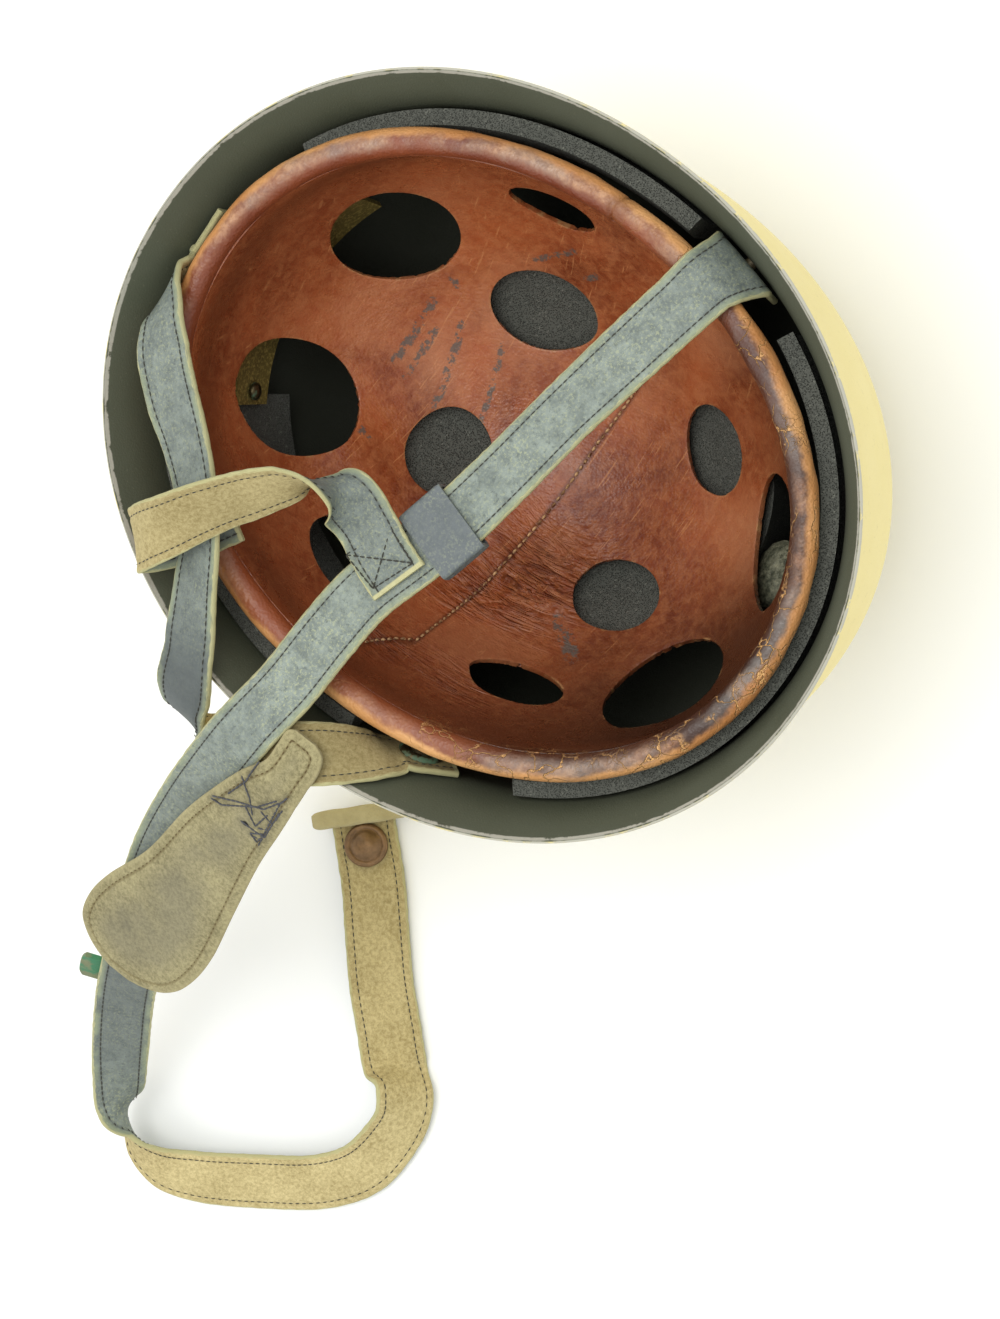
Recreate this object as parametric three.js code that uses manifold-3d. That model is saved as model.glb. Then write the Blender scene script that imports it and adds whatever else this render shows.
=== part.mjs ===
// Paratrooper helmet of the twentieth century, laid on its crown with its opening up.
// Millimetres, +Z up. The crown touches z = 0, the forehead faces -Y and +X is the wearer's right.
import * as THREE from 'three';
import { mergeVertices } from 'three/addons/utils/BufferGeometryUtils.js';
import Module from 'manifold-3d';

const wasm = await Module();
wasm.setup();

// Driving dimensions
const SHELL = { halfWidth: 121, halfLength: 140, height: 160, wall: 1.5 };
const RIM = { flare: 13, depth: 30, curve: 1.6 };
const DOME = { depth: 120, power: 2.6, crownFlat: 0.14 };
const OVAL_POWER = 2.06;
const LINER = { halfWidth: 92.4, halfLength: 116.5, top: 144.6, centre: 150, depth: 110, wall: 2 };
const ROLL = { halfWidth: 94.4, halfLength: 118.5, radius: 5, z: 150 };
const PAD = { clearance: 2.2, thickness: 6, top: 141 };
const STRAP = { thickness: 2.6, loopThickness: 2, standOff: 4.3 };
const BOLT = { shank: 4.4, hole: 5.2, head: 12, headHeight: 2.6, z: 135 };
const SNAP = { across: 16, height: 4.2 };
const GAP = 0.3;

const degrees = (value) => (value * Math.PI) / 180;
const mix = (a, b, share) => a + (b - a) * share;

// Each material has the colour of the real finish
const finish = (name, colour, roughness, metalness = 0) =>
  new THREE.MeshStandardMaterial({ name, color: colour, roughness, metalness });
const steelPaint = finish('shell_paint', '#c9b878', 0.8, 0.1);
const linerHide = finish('liner_leather', '#7c3a20', 0.45);
const rollHide = finish('roll_leather', '#b5703a', 0.5);
const foamRubber = finish('foam', '#3a3d3e', 0.95);
const strapHide = finish('strap_leather', '#6c7880', 0.6);
const suede = finish('suede', '#a58e5c', 0.9);
const oliveHide = finish('tab_leather', '#6e6a2c', 0.8);
const fitting = finish('fittings', '#5d5442', 0.4, 0.8);
const snapMetal = finish('snap_metal', '#8a6242', 0.35, 0.9);

const helmet = new THREE.Group();

function place(name, geometry, material) {
  const mesh = new THREE.Mesh(geometry, material);
  mesh.name = name;
  helmet.add(mesh);
  return mesh;
}

// Mesh of rings with the same number of points, joined one to the next.
// Open stacks end in a fan at each end; a wrapped stack joins its last ring to its first.
function ringMesh(rings, wrapped = false) {
  const count = rings[0].length;
  const points = rings.flat();
  const faces = [];
  const last = wrapped ? rings.length : rings.length - 1;
  for (let i = 0; i < last; i += 1) {
    const low = i * count;
    const high = ((i + 1) % rings.length) * count;
    for (let j = 0; j < count; j += 1) {
      const k = (j + 1) % count;
      faces.push(low + j, low + k, high + k, low + j, high + k, high + j);
    }
  }
  if (!wrapped) {
    const top = (rings.length - 1) * count;
    for (let j = 1; j < count - 1; j += 1) {
      faces.push(0, j + 1, j, top, top + j, top + j + 1);
    }
  }
  const geometry = new THREE.BufferGeometry();
  const position = points.flatMap((point) => [point.x, point.y, point.z]);
  geometry.setAttribute('position', new THREE.Float32BufferAttribute(position, 3));
  geometry.setIndex(faces);
  return geometry;
}

function toSolid(geometry) {
  const bare = geometry.clone();
  bare.deleteAttribute('normal');
  bare.deleteAttribute('uv');
  const merged = mergeVertices(bare, 1e-4);
  const mesh = new wasm.Mesh({
    numProp: 3,
    vertProperties: new Float32Array(merged.attributes.position.array),
    triVerts: new Uint32Array(merged.index.array),
  });
  return new wasm.Manifold(mesh);
}

function fromSolid(solid) {
  const mesh = solid.getMesh();
  const geometry = new THREE.BufferGeometry();
  geometry.setAttribute('position', new THREE.BufferAttribute(mesh.vertProperties, 3));
  geometry.setIndex(new THREE.BufferAttribute(mesh.triVerts, 1));
  return geometry;
}

function cut(geometry, cutters) {
  let solid = toSolid(geometry);
  for (const cutter of cutters) {
    solid = solid.subtract(toSolid(cutter));
  }
  return fromSolid(solid);
}

// Point of an oval: a slightly squared ellipse, by its own angle
function oval(angle, halfWidth, halfLength, z) {
  const c = Math.cos(angle);
  const s = Math.sin(angle);
  const reach = (Math.abs(c) ** OVAL_POWER + Math.abs(s) ** OVAL_POWER) ** (-1 / OVAL_POWER);
  return new THREE.Vector3(halfWidth * reach * c, halfLength * reach * s, z);
}

// The oval's own angle for a compass direction about Z
function ovalAngle(azimuth) {
  const turn = degrees(azimuth);
  return Math.atan2(Math.sin(turn) / SHELL.halfLength, Math.cos(turn) / SHELL.halfWidth);
}

// Outline of the shell's outside at one height: a dome, a short upright wall and a flared rim
function shellSection(z) {
  const rise = Math.max(0, (DOME.depth - z) / DOME.depth);
  const crown = 1 - DOME.crownFlat ** DOME.power;
  const share = Math.max(0, 1 - rise ** DOME.power * crown) ** (1 / DOME.power);
  const along = Math.min(1, (SHELL.height - z) / RIM.depth);
  const inset = RIM.flare * (1 - (1 - along) ** RIM.curve);
  return [(SHELL.halfWidth - inset) * share, (SHELL.halfLength - inset) * share];
}

const shellPoint = (angle, z) => oval(angle, ...shellSection(z), z);

function shellNormal(angle, z) {
  const step = 0.02;
  const low = Math.max(0, z - step * 10);
  const high = Math.min(SHELL.height, z + step * 10);
  const round = shellPoint(angle + step, z).sub(shellPoint(angle - step, z));
  const up = shellPoint(angle, high).sub(shellPoint(angle, low));
  return round.cross(up).normalize();
}

// Point inside the shell's outer face by a depth, no higher than the rim
function insideShell(angle, z, depth) {
  const point = shellPoint(angle, z).addScaledVector(shellNormal(angle, z), -depth);
  point.z = Math.min(point.z, SHELL.height);
  return point;
}

// Heights of the shell's rings, close together at the crown and at the flare
function shellHeights() {
  const dome = [0, 3, 8, 16, 27, 42, 62, 84, 104];
  const rim = [120, 131, 140, 150, SHELL.height];
  return [...dome, ...rim];
}

// Place and direction of a harness bolt on the shell
function boltSeat(azimuth, z = BOLT.z) {
  const angle = ovalAngle(azimuth);
  return { point: shellPoint(angle, z), out: shellNormal(angle, z) };
}

const seats = { right: boltSeat(-19), left: boltSeat(-161), rear: boltSeat(90) };

// Turned piece on a bolt's axis, its profile in radius and height out from the shell's outer face
function onSeat(seat, profile, segments = 14) {
  const points = profile.map(([radius, height]) => new THREE.Vector2(radius, height));
  const geometry = new THREE.LatheGeometry(points, segments);
  const turn = new THREE.Quaternion().setFromUnitVectors(new THREE.Vector3(0, 1, 0), seat.out);
  geometry.applyQuaternion(turn);
  geometry.translate(seat.point.x, seat.point.y, seat.point.z);
  return geometry;
}

const boltHole = (seat) => {
  const radius = BOLT.hole / 2;
  return onSeat(seat, [[0, -12], [radius, -12], [radius, 6], [0, 6]], 12);
};

// Shell: pressed steel bowl with three bolt holes
function shellGeometry() {
  const segments = 47;
  const angles = Array.from({ length: segments }, (_, i) => (i / segments) * 2 * Math.PI);
  const heights = shellHeights();
  const outside = heights.map((z) => angles.map((angle) => shellPoint(angle, z)));
  const inside = heights.map((z) => angles.map((angle) => insideShell(angle, z, SHELL.wall)));
  const bowl = ringMesh([...outside, ...inside.reverse()]);
  return cut(bowl, Object.values(seats).map(boltHole));
}
place('shell', shellGeometry(), steelPaint);

// Liner: leather bowl of two halves with twelve air holes. The holes were punched round and
// have stretched into ovals. An azimuth is told from the forehead, towards the wearer's right,
// and a tilt from the level, towards the brim.
const HOLE_COLUMNS = ['azimuth', 'polar', 'long', 'short', 'tilt'];
const LINER_HOLES = [
  [12.6, 46.6, 48, 27, -27],
  [52, 54.3, 32, 28, 0],
  [124, 55.5, 32, 17, 19],
  [163, 54.7, 48, 40, 70],
  [-155, 58, 53, 40, -75],
  [-117, 59, 34, 26, 10],
  [-62.5, 58.2, 34, 21, -6],
  [-27.6, 56.4, 48, 42, -58],
  [142, 27.5, 39, 31, 25],
  [-141, 28.5, 32, 30, 60],
  [33.3, 26, 32, 26, -9],
  [-41, 31, 33, 27.5, 17],
].map((row) => Object.fromEntries(HOLE_COLUMNS.map((key, i) => [key, row[i]])));

const linerPoint = (angle, polar, outward) => {
  const reach = Math.sin(polar);
  const width = (LINER.halfWidth + outward) * reach;
  const length = (LINER.halfLength + outward) * reach;
  return oval(angle, width, length, LINER.centre - (LINER.depth + outward) * Math.cos(polar));
};

function linerCutter(hole) {
  const turn = degrees(hole.azimuth - 90);
  const angle = Math.atan2(Math.sin(turn) / LINER.halfLength, Math.cos(turn) / LINER.halfWidth);
  const centre = linerPoint(angle, degrees(hole.polar), 0);
  const axis = centre.clone().sub(new THREE.Vector3(0, 0, LINER.centre));
  axis.divide(new THREE.Vector3(LINER.halfWidth ** 2, LINER.halfLength ** 2, LINER.depth ** 2));
  axis.normalize();
  const level = new THREE.Vector3(0, 0, 1).cross(axis).normalize();
  const climb = axis.clone().cross(level);
  const tilt = degrees(hole.tilt);
  const first = level.multiplyScalar(Math.cos(tilt)).addScaledVector(climb, Math.sin(tilt));
  const second = first.clone().cross(axis);
  const geometry = new THREE.CylinderGeometry(0.5, 0.5, 24, 18);
  geometry.scale(hole.long, 1, hole.short);
  geometry.applyMatrix4(new THREE.Matrix4().makeBasis(first, axis, second));
  geometry.translate(centre.x, centre.y, centre.z);
  return geometry;
}

function linerGeometry() {
  const segments = 36;
  const rings = 8;
  const angles = Array.from({ length: segments }, (_, i) => (i / segments) * 2 * Math.PI);
  const brim = Math.acos((LINER.centre - LINER.top) / LINER.depth);
  const polars = Array.from({ length: rings }, (_, i) => mix(degrees(4), brim, i / (rings - 1)));
  const outside = polars.map((polar) => angles.map((angle) => linerPoint(angle, polar, LINER.wall)));
  const inside = polars.map((polar) => angles.map((angle) => linerPoint(angle, polar, 0)));
  return cut(ringMesh([...outside, ...inside.reverse()]), LINER_HOLES.map(linerCutter));
}
place('liner', linerGeometry(), linerHide);

// Rolled edge: leather sewn round a cord along the liner's brim
function rollGeometry() {
  const segments = 48;
  const sides = 8;
  const rings = Array.from({ length: segments }, (_, i) => {
    const angle = (i / segments) * 2 * Math.PI;
    return Array.from({ length: sides }, (__, j) => {
      const turn = (j / sides) * 2 * Math.PI;
      const out = ROLL.radius * Math.cos(turn);
      const z = ROLL.z + ROLL.radius * Math.sin(turn);
      return oval(angle, ROLL.halfWidth + out, ROLL.halfLength + out, z);
    });
  });
  return ringMesh(rings.reverse(), true);
}
place('liner_roll', rollGeometry(), rollHide);

// Foam pads glued round the shell's wall, each between two directions and two heights
function wallPad(from, to, low) {
  const steps = Math.ceil(Math.abs(to - from) / 8);
  const outer = SHELL.wall + PAD.clearance;
  const inner = outer + PAD.thickness;
  const heights = [low, mix(low, 118, 0.5), 118, 131, PAD.top];
  const rings = Array.from({ length: steps + 1 }, (_, i) => {
    const angle = ovalAngle(mix(from, to, i / steps));
    const back = heights.map((z) => insideShell(angle, z, outer));
    const front = heights.map((z) => insideShell(angle, z, inner));
    return [...back, ...front.reverse()];
  });
  return ringMesh(rings.reverse());
}
place('foam_rear_right', wallPad(-8, 68, 85), foamRubber);
place('foam_front', wallPad(-142, -33, 85), foamRubber);
place('foam_rear_left', wallPad(117, 186, 62), foamRubber);

// Crown pad: thick foam between the liner's crown and the shell
function crownPad() {
  const segments = 24;
  const reach = degrees(38);
  const lift = 4;
  const angles = Array.from({ length: segments }, (_, i) => (i / segments) * 2 * Math.PI);
  const polars = [4, 14, 24, 32].map(degrees);
  polars.push(reach);
  const top = polars.map((polar) => angles.map((angle) => linerPoint(angle, polar, LINER.wall + lift)));
  const floor = [0.2, 0.5, 0.8, 1].map((share) => angles.map((angle) => {
    const edge = linerPoint(angle, reach * share, LINER.wall + lift);
    return new THREE.Vector3(edge.x * 0.98, edge.y * 0.98, mix(1.2, 19, share ** 2));
  }));
  return ringMesh([...floor, ...top.reverse()]);
}
place('foam_crown', crownPad(), foamRubber);

// Leather band hung between liner and shell, seen through the liner's rear holes
const BAND = { from: 74, to: 119, lowFrom: 66, lowTo: 81, high: 104, depth: 11, steps: 5 };
function bandGeometry() {
  const rings = Array.from({ length: BAND.steps + 1 }, (_, i) => {
    const share = i / BAND.steps;
    const angle = ovalAngle(mix(BAND.from, BAND.to, share));
    const low = mix(BAND.lowFrom, BAND.lowTo, share);
    const back = [low, BAND.high].map((z) => insideShell(angle, z, BAND.depth));
    const front = [BAND.high, low].map((z) => insideShell(angle, z, BAND.depth + LINER.wall));
    return [...back, ...front];
  });
  return ringMesh(rings.reverse());
}
place('rear_band', bandGeometry(), oliveHide);

// Rivet through the band
const rivetTop = BAND.depth + LINER.wall + 1.4;
const rivetProfile = [
  [0, -rivetTop - 1.8], [1.8, -rivetTop - 1.6], [3, -rivetTop - 0.7], [3.2, -rivetTop], [0, -rivetTop],
];
place('rear_rivet', onSeat(boltSeat(116.5, 92), rivetProfile, 12), fitting);

// Button of leather behind a front hole
function frontButton() {
  const profile = [[0, -2], [11, -2], [12, 0], [9, 3], [4, 4.5], [0, 5]];
  const points = profile.map(([radius, height]) => new THREE.Vector2(radius, height));
  const geometry = new THREE.LatheGeometry(points, 14);
  geometry.rotateX(Math.PI / 2);
  geometry.rotateZ(degrees(12));
  geometry.rotateX(degrees(-32));
  geometry.translate(6, -85, 58.5);
  return geometry;
}
place('front_button', frontButton(), oliveHide);

// Strap tables. Each row is a section of the leather: the middle, the compass direction
// and the rise, in degrees, of its first edge, and the width there.
const COLUMNS = ['x', 'y', 'z', 'aim', 'rise', 'width'];
const rowsOf = (table) => table.map((row) => Object.fromEntries(COLUMNS.map((key, i) => [key, row[i]])));

const MAIN_STRAP = rowsOf([
  [100, -35, 150, 76, 3, 25],
  [94, -33, 157, 78, 4, 23],
  [83, -31, 160.5, 78, 3, 22],
  [57, -25, 162, 80, -3, 22],
  [29, -19, 164, 85, -10, 22],
  [2, -14, 165.5, 86, -8, 22],
  [-25, -8, 167, 84, -3, 22],
  [-40, -3, 167.5, 88, -3, 22],
  [-58, 3, 167.5, 95, -4, 22],
  [-77, 6, 167, 96, 0, 22],
  [-100, 8, 167.5, 99, 0, 22],
  [-121, 12, 167, 100, -3, 22],
  [-139, 17, 155.8, 100, -6, 22],
  [-168, 25, 132, 105, -6, 22],
  [-194, 29, 113, 106, -6, 22],
  [-221, 29, 94, 107, -5, 22],
  [-245, 27, 76, 112, 0, 22],
  [-266, 27, 56, 122, 10, 21.5],
  [-286, 23.5, 40.5, 124, 22, 21],
  [-301, 20, 29, 118, 42, 20],
  [-311, 17, 21.5, 90, 68, 20],
  [-318, 12.5, 15.5, -8, 67, 21],
  [-324, 3.5, 12, 3, 48, 22],
  [-325, -7, 9.5, 13, 34, 22.5],
  [-320, -19, 7.5, 19, 26, 23],
  [-306, -40, 6.5, 25, 23, 23],
  [-291, -59, 7, 30, 25, 23],
  [-277, -69, 8, 48, 30, 23],
  [-261, -72, 9.5, 62, 40, 23],
  [-249, -71, 11, 80, 47, 23],
  [-241, -66, 11.6, 101, 42, 23],
  [-238, -58, 8, 119, 22, 23.5],
  [-230, -49, 6.5, 125, 21, 23.5],
  [-217, -36, 6.5, 129, 21, 23.5],
  [-203, -24, 6, 130, 19, 23.5],
  [-189, -12, 5.2, 131, 15, 23.5],
  [-179.5, -2.3, 4.6, 132, 13, 23.5],
  [-171.5, 5.5, 4.4, 132, 13, 23.5],
]);

const NAPE_STRAP = rowsOf([
  [-14, 123.4, 140.5, -100, -76, 21],
  [-18, 124.2, 148, -170, -70, 20],
  [-22, 122.2, 155.5, 130, -60, 20],
  [-27, 117, 162.5, 124, -32, 21],
  [-35, 109, 166, 132, -14, 22],
  [-45, 97, 168, 135, -14, 22],
  [-53, 85, 170, 135, -21, 22],
  [-64, 72, 171, 132, -28, 22],
  [-79, 60, 170, 133, -33, 22],
  [-92, 54, 168, 128, -28, 22],
  [-104, 48, 167, 125, -22, 22],
  [-116, 43, 164, 125, -22, 22],
  [-127, 41, 157, 128, -22, 22],
  [-135, 39, 150, 117, -37, 21.5],
  [-138, 34, 143.5, 85, -50, 19],
  [-137, 24, 142, 38, -20, 20],
  [-135, 16, 145.5, 37, 8, 22],
  [-132, 9, 154.3, 38, 24, 22],
  [-126.5, 2, 160.8, 38, 15, 22],
  [-119, -6, 162.9, 38, 0, 22],
  [-113, -14, 161.8, 34, -18, 22],
  [-108.5, -21, 155.5, 38, -35, 21],
  [-105, -26.5, 147.5, 60, -50, 21],
]);

const LOOP_STRAP = rowsOf([
  [-47, -6, 171, 157, 0, 22],
  [-43, 5, 171, 152, 0, 22],
  [-38, 14, 172.4, 145, 0, 22],
  [-34.5, 22, 176, 140, 30, 22],
  [-33.5, 28, 180, 130, 70, 22],
  [-35.5, 36, 183, 60, 80, 22],
  [-41, 42, 184, 35, 56, 22],
  [-53, 52, 184, 22, 38, 22],
  [-65, 61, 184.5, 28, 33, 22],
  [-77, 69, 182, 32, 28, 22],
  [-87, 76, 176, 38, 15, 22],
  [-92, 79, 169, 40, 10, 22],
  [-87, 74, 162.5, 42, 5, 22],
  [-77, 67, 160, 42, 5, 22],
  [-66, 60, 160, 42, 5, 22],
]);

// Ribbon of leather through its sections, with flat ends
function ribbonFrames(rows, share = 3) {
  const middles = new THREE.CatmullRomCurve3(
    rows.map(({ x, y, z }) => new THREE.Vector3(x, y, z)), false, 'centripetal');
  const edges = new THREE.CatmullRomCurve3(rows.map(({ aim, rise }) => new THREE.Vector3(
    Math.cos(degrees(rise)) * Math.cos(degrees(aim)),
    Math.cos(degrees(rise)) * Math.sin(degrees(aim)),
    Math.sin(degrees(rise)))), false, 'centripetal');
  const count = (rows.length - 1) * share;
  return Array.from({ length: count + 1 }, (_, i) => {
    const place01 = i / count;
    const row = Math.min(rows.length - 2, Math.floor(i / share));
    const width = mix(rows[row].width, rows[row + 1].width, i / share - row);
    const along = middles.getTangent(place01).normalize();
    const edge = edges.getPoint(place01);
    edge.addScaledVector(along, -edge.dot(along)).normalize();
    const face = edge.clone().cross(along).normalize();
    return { middle: middles.getPoint(place01), along, edge, face, width };
  });
}

function ribbonGeometry(frames, thickness) {
  const rings = frames.map(({ middle, edge, face, width }) => {
    const corner = (side, up) => middle.clone()
      .addScaledVector(edge, (side * width) / 2)
      .addScaledVector(face, (up * thickness) / 2);
    return [corner(1, -1), corner(-1, -1), corner(-1, 1), corner(1, 1)];
  });
  return ringMesh(rings);
}

// Rows for a strap end held flat to the shell's wall. The heading is the slope at which
// the strap runs along the wall: 0 is level and 90 is straight up.
function wallRows(seat, { heading, width, reach }) {
  const level = new THREE.Vector3(0, 0, 1).cross(seat.out).normalize();
  const climb = seat.out.clone().cross(level).normalize();
  const slope = degrees(heading);
  const along = level.clone().multiplyScalar(Math.cos(slope)).addScaledVector(climb, Math.sin(slope));
  const edge = level.clone().multiplyScalar(Math.sin(slope)).addScaledVector(climb, -Math.cos(slope));
  const middle = seat.point.clone().addScaledVector(seat.out, -STRAP.standOff);
  const aim = (Math.atan2(edge.y, edge.x) * 180) / Math.PI;
  const rise = (Math.asin(edge.z) * 180) / Math.PI;
  return reach.map((distance) => {
    const point = middle.clone().addScaledVector(along, distance);
    return { x: point.x, y: point.y, z: point.z, aim, rise, width };
  });
}

const mainRows = [
  ...wallRows(seats.right, { heading: 90, width: 28, reach: [-9, -3, 3, 9] }),
  ...MAIN_STRAP,
];
const napeRows = [
  ...wallRows(seats.rear, { heading: 0, width: 22, reach: [-11, -4, 4, 10] }),
  ...NAPE_STRAP,
  ...wallRows(seats.left, { heading: -40, width: 22, reach: [-9, -3, 3, 11] }),
];
const mainFrames = ribbonFrames(mainRows, 2);
const napeFrames = ribbonFrames(napeRows, 2);
const loopFrames = ribbonFrames(LOOP_STRAP, 2);

const mainStrap = ribbonGeometry(mainFrames, STRAP.thickness);
place('main_strap', cut(mainStrap, [boltHole(seats.right)]), strapHide);
const napeStrap = ribbonGeometry(napeFrames, STRAP.thickness);
place('nape_strap', cut(napeStrap, [boltHole(seats.rear), boltHole(seats.left)]), strapHide);
place('loop_strap', ribbonGeometry(loopFrames, STRAP.loopThickness), strapHide);

// Bolt: domed head outside, shank through shell and strap, small round end inside
function boltGeometry(seat) {
  const shank = BOLT.shank / 2;
  const head = BOLT.head / 2;
  const strapFace = -(STRAP.standOff + STRAP.thickness / 2 + GAP);
  return onSeat(seat, [
    [0, strapFace - 2],
    [3.2, strapFace - 1.6],
    [4.4, strapFace],
    [shank, strapFace],
    [shank, 0.8],
    [head, 0.8],
    [head * 0.9, 1.8],
    [head * 0.55, BOLT.headHeight],
    [0, BOLT.headHeight + 0.5],
  ]);
}

// Eyelet: pressed metal ring round the hole in the strap's end
function eyeletGeometry(seat) {
  const face = -(STRAP.standOff + STRAP.thickness / 2 + GAP);
  return onSeat(seat, [
    [4.9, face], [4.9, face - 1.2], [6.2, face - 1.9], [7.7, face - 1], [8, face], [4.9, face],
  ], 16);
}

for (const [side, seat] of Object.entries(seats)) {
  place(`bolt_${side}`, boltGeometry(seat), fitting);
  place(`eyelet_${side}`, eyeletGeometry(seat), fitting);
}

// Section of a ribbon nearest to a point seen from above
function nearest(frames, x, y) {
  const away = ({ middle }) => Math.hypot(middle.x - x, middle.y - y);
  return frames.reduce((best, frame) => (away(frame) < away(best) ? frame : best));
}

// Matrix that lays a flat piece on a strap: X across, Y along, Z off the chosen face
function onStrap(frame, side, lift, shift = 0) {
  const up = frame.face.clone().multiplyScalar(side);
  const across = frame.along.clone().cross(up).normalize();
  const origin = frame.middle.clone()
    .addScaledVector(up, STRAP.thickness / 2 + lift)
    .addScaledVector(frame.along, shift);
  const matrix = new THREE.Matrix4().makeBasis(across, frame.along, up);
  return matrix.setPosition(origin);
}

// Keeper: leather band sewn round the strap where its tail is tucked in
function keeperGeometry() {
  const outer = [13.4, 3.5];
  const inner = [12, 2.1];
  const rectangle = (path, [w, h]) => {
    path.moveTo(-w, -h);
    path.lineTo(w, -h);
    path.lineTo(w, h);
    path.lineTo(-w, h);
    path.lineTo(-w, -h);
    return path;
  };
  const outline = rectangle(new THREE.Shape(), outer);
  outline.holes.push(rectangle(new THREE.Path(), inner));
  const length = 18;
  const geometry = new THREE.ExtrudeGeometry(outline, { depth: length, bevelEnabled: false });
  geometry.translate(0, 0, -length / 2);
  geometry.rotateX(Math.PI / 2);
  return geometry;
}
const keeperFrame = nearest(mainFrames, -25, -8);
const keeper = keeperGeometry();
keeper.applyMatrix4(onStrap(keeperFrame, 1, -STRAP.thickness / 2));
place('keeper', keeper, strapHide);

// Chin pad: pear-shaped piece of suede laid on the strap's slope. Each row is a section
// across it: its place and height, and the two ends of the section.
const CHIN_COLUMNS = ['x', 'z', 'near', 'far'];
const CHIN_ROWS = [
  [-110, 168.8, -12, -4],
  [-112, 168.8, -16, -1.5],
  [-118, 168.6, -18, -1.2],
  [-125, 167.6, -17.5, -0.5],
  [-134, 163.9, -16.5, 5.5],
  [-146, 155.8, -14.5, 12],
  [-165, 141.6, -10.5, 21],
  [-193, 120.8, -7, 31],
  [-215, 104.4, -4.5, 43],
  [-227, 95.6, -1.5, 47.5],
  [-237, 88.6, 3, 48],
  [-243, 84.5, 8.5, 44],
  [-247, 81.8, 16, 38],
  [-249, 80.4, 23, 32],
].map((row) => Object.fromEntries(CHIN_COLUMNS.map((key, i) => [key, row[i]])));
const CHIN_THICKNESS = 2.4;

function chinPadGeometry() {
  const rings = CHIN_ROWS.map(({ x, z, near, far }, i) => {
    const before = CHIN_ROWS[Math.max(0, i - 1)];
    const after = CHIN_ROWS[Math.min(CHIN_ROWS.length - 1, i + 1)];
    const along = new THREE.Vector3(after.x - before.x, 0, after.z - before.z).normalize();
    const up = new THREE.Vector3(-along.z, 0, along.x).multiplyScalar(-CHIN_THICKNESS / 2);
    const corner = (y, side) => new THREE.Vector3(x, y, z).addScaledVector(up, side);
    return [corner(near, -1), corner(near, 1), corner(far, 1), corner(far, -1)];
  });
  return ringMesh(rings);
}
place('chin_pad', chinPadGeometry(), suede);

// Snap fastener at the strap's tail: a shallow copper cup in a turned ring
function snapGeometry() {
  const radius = SNAP.across / 2;
  const profile = [
    [0, 0], [radius, 0], [radius, 1.2], [radius - 0.8, 2], [radius - 1.8, 2.4],
    [5, SNAP.height - 0.4], [2, SNAP.height], [0, SNAP.height],
  ].map(([x, y]) => new THREE.Vector2(x, y));
  const geometry = new THREE.LatheGeometry(profile, 16);
  geometry.rotateX(Math.PI / 2);
  return geometry;
}
const snap = snapGeometry();
snap.applyMatrix4(onStrap(nearest(mainFrames, -179.5, -2.3), -1, 2 * GAP));
place('snap', snap, snapMetal);

// Tail tab: a strip of folded leather sewn across the end of the strap
const TAIL_TAB = { length: 36, width: 5.2, height: 4.4 };
const tailTab = new THREE.BoxGeometry(TAIL_TAB.length, TAIL_TAB.width, TAIL_TAB.height, 4, 1, 1);
tailTab.translate(0, 0, TAIL_TAB.height / 2);
tailTab.applyMatrix4(onStrap(mainFrames[mainFrames.length - 1], -1, GAP));
place('tail_tab', tailTab, suede);

// Stud tab: small leather tongue under the strap below the chin pad, with a brass stud
const studFrame = nearest(mainFrames, -257, 26);
const studTab = new THREE.BoxGeometry(11, 14, 2);
studTab.translate(-13, 0, 1);
studTab.applyMatrix4(onStrap(studFrame, -1, 4 * GAP));
place('stud_tab', studTab, strapHide);

export default helmet;
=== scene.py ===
import bpy
import numpy as np
from mathutils import Matrix, Vector


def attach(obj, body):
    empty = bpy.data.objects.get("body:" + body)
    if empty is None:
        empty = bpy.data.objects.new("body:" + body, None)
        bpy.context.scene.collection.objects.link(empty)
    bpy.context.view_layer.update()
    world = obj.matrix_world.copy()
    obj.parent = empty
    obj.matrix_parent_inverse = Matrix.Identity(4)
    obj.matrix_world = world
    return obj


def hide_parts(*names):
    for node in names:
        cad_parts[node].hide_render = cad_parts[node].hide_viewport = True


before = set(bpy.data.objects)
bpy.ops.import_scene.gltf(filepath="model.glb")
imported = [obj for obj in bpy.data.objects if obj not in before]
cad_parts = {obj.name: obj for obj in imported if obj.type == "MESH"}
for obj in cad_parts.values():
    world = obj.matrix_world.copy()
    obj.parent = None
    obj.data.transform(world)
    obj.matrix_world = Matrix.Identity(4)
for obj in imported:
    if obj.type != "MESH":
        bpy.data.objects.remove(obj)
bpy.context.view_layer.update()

# Camera: a long lens held over the helmet and a little in front of it, turned so that the
# forehead points to the lower right of the picture.
lens = bpy.data.cameras.new("camera")
lens.sensor_fit = "VERTICAL"
lens.sensor_height = 36
lens.lens = 164.9
lens.clip_end = 50
camera = bpy.data.objects.new("camera", lens)
camera.matrix_world = Matrix((
    (0.5355, 0.80265, 0.26267, 0.47586),
    (-0.7667, 0.59246, -0.24733, -0.54141),
    (-0.35414, -0.06894, 0.93265, 2.02683),
    (0, 0, 0, 1),
))
bpy.context.scene.collection.objects.link(camera)
bpy.context.scene.camera = camera


# Floor and studio light: a pale table that runs out of sight, a large soft light overhead, a
# weaker one from the side and white light from all round.
def paint(red, green, blue):
    """Linear colour of a shade given as 0-255 screen values: each share to the power 2.2."""
    return (*(np.array([red, green, blue]) / 255) ** 2.2, 1.0)


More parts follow.
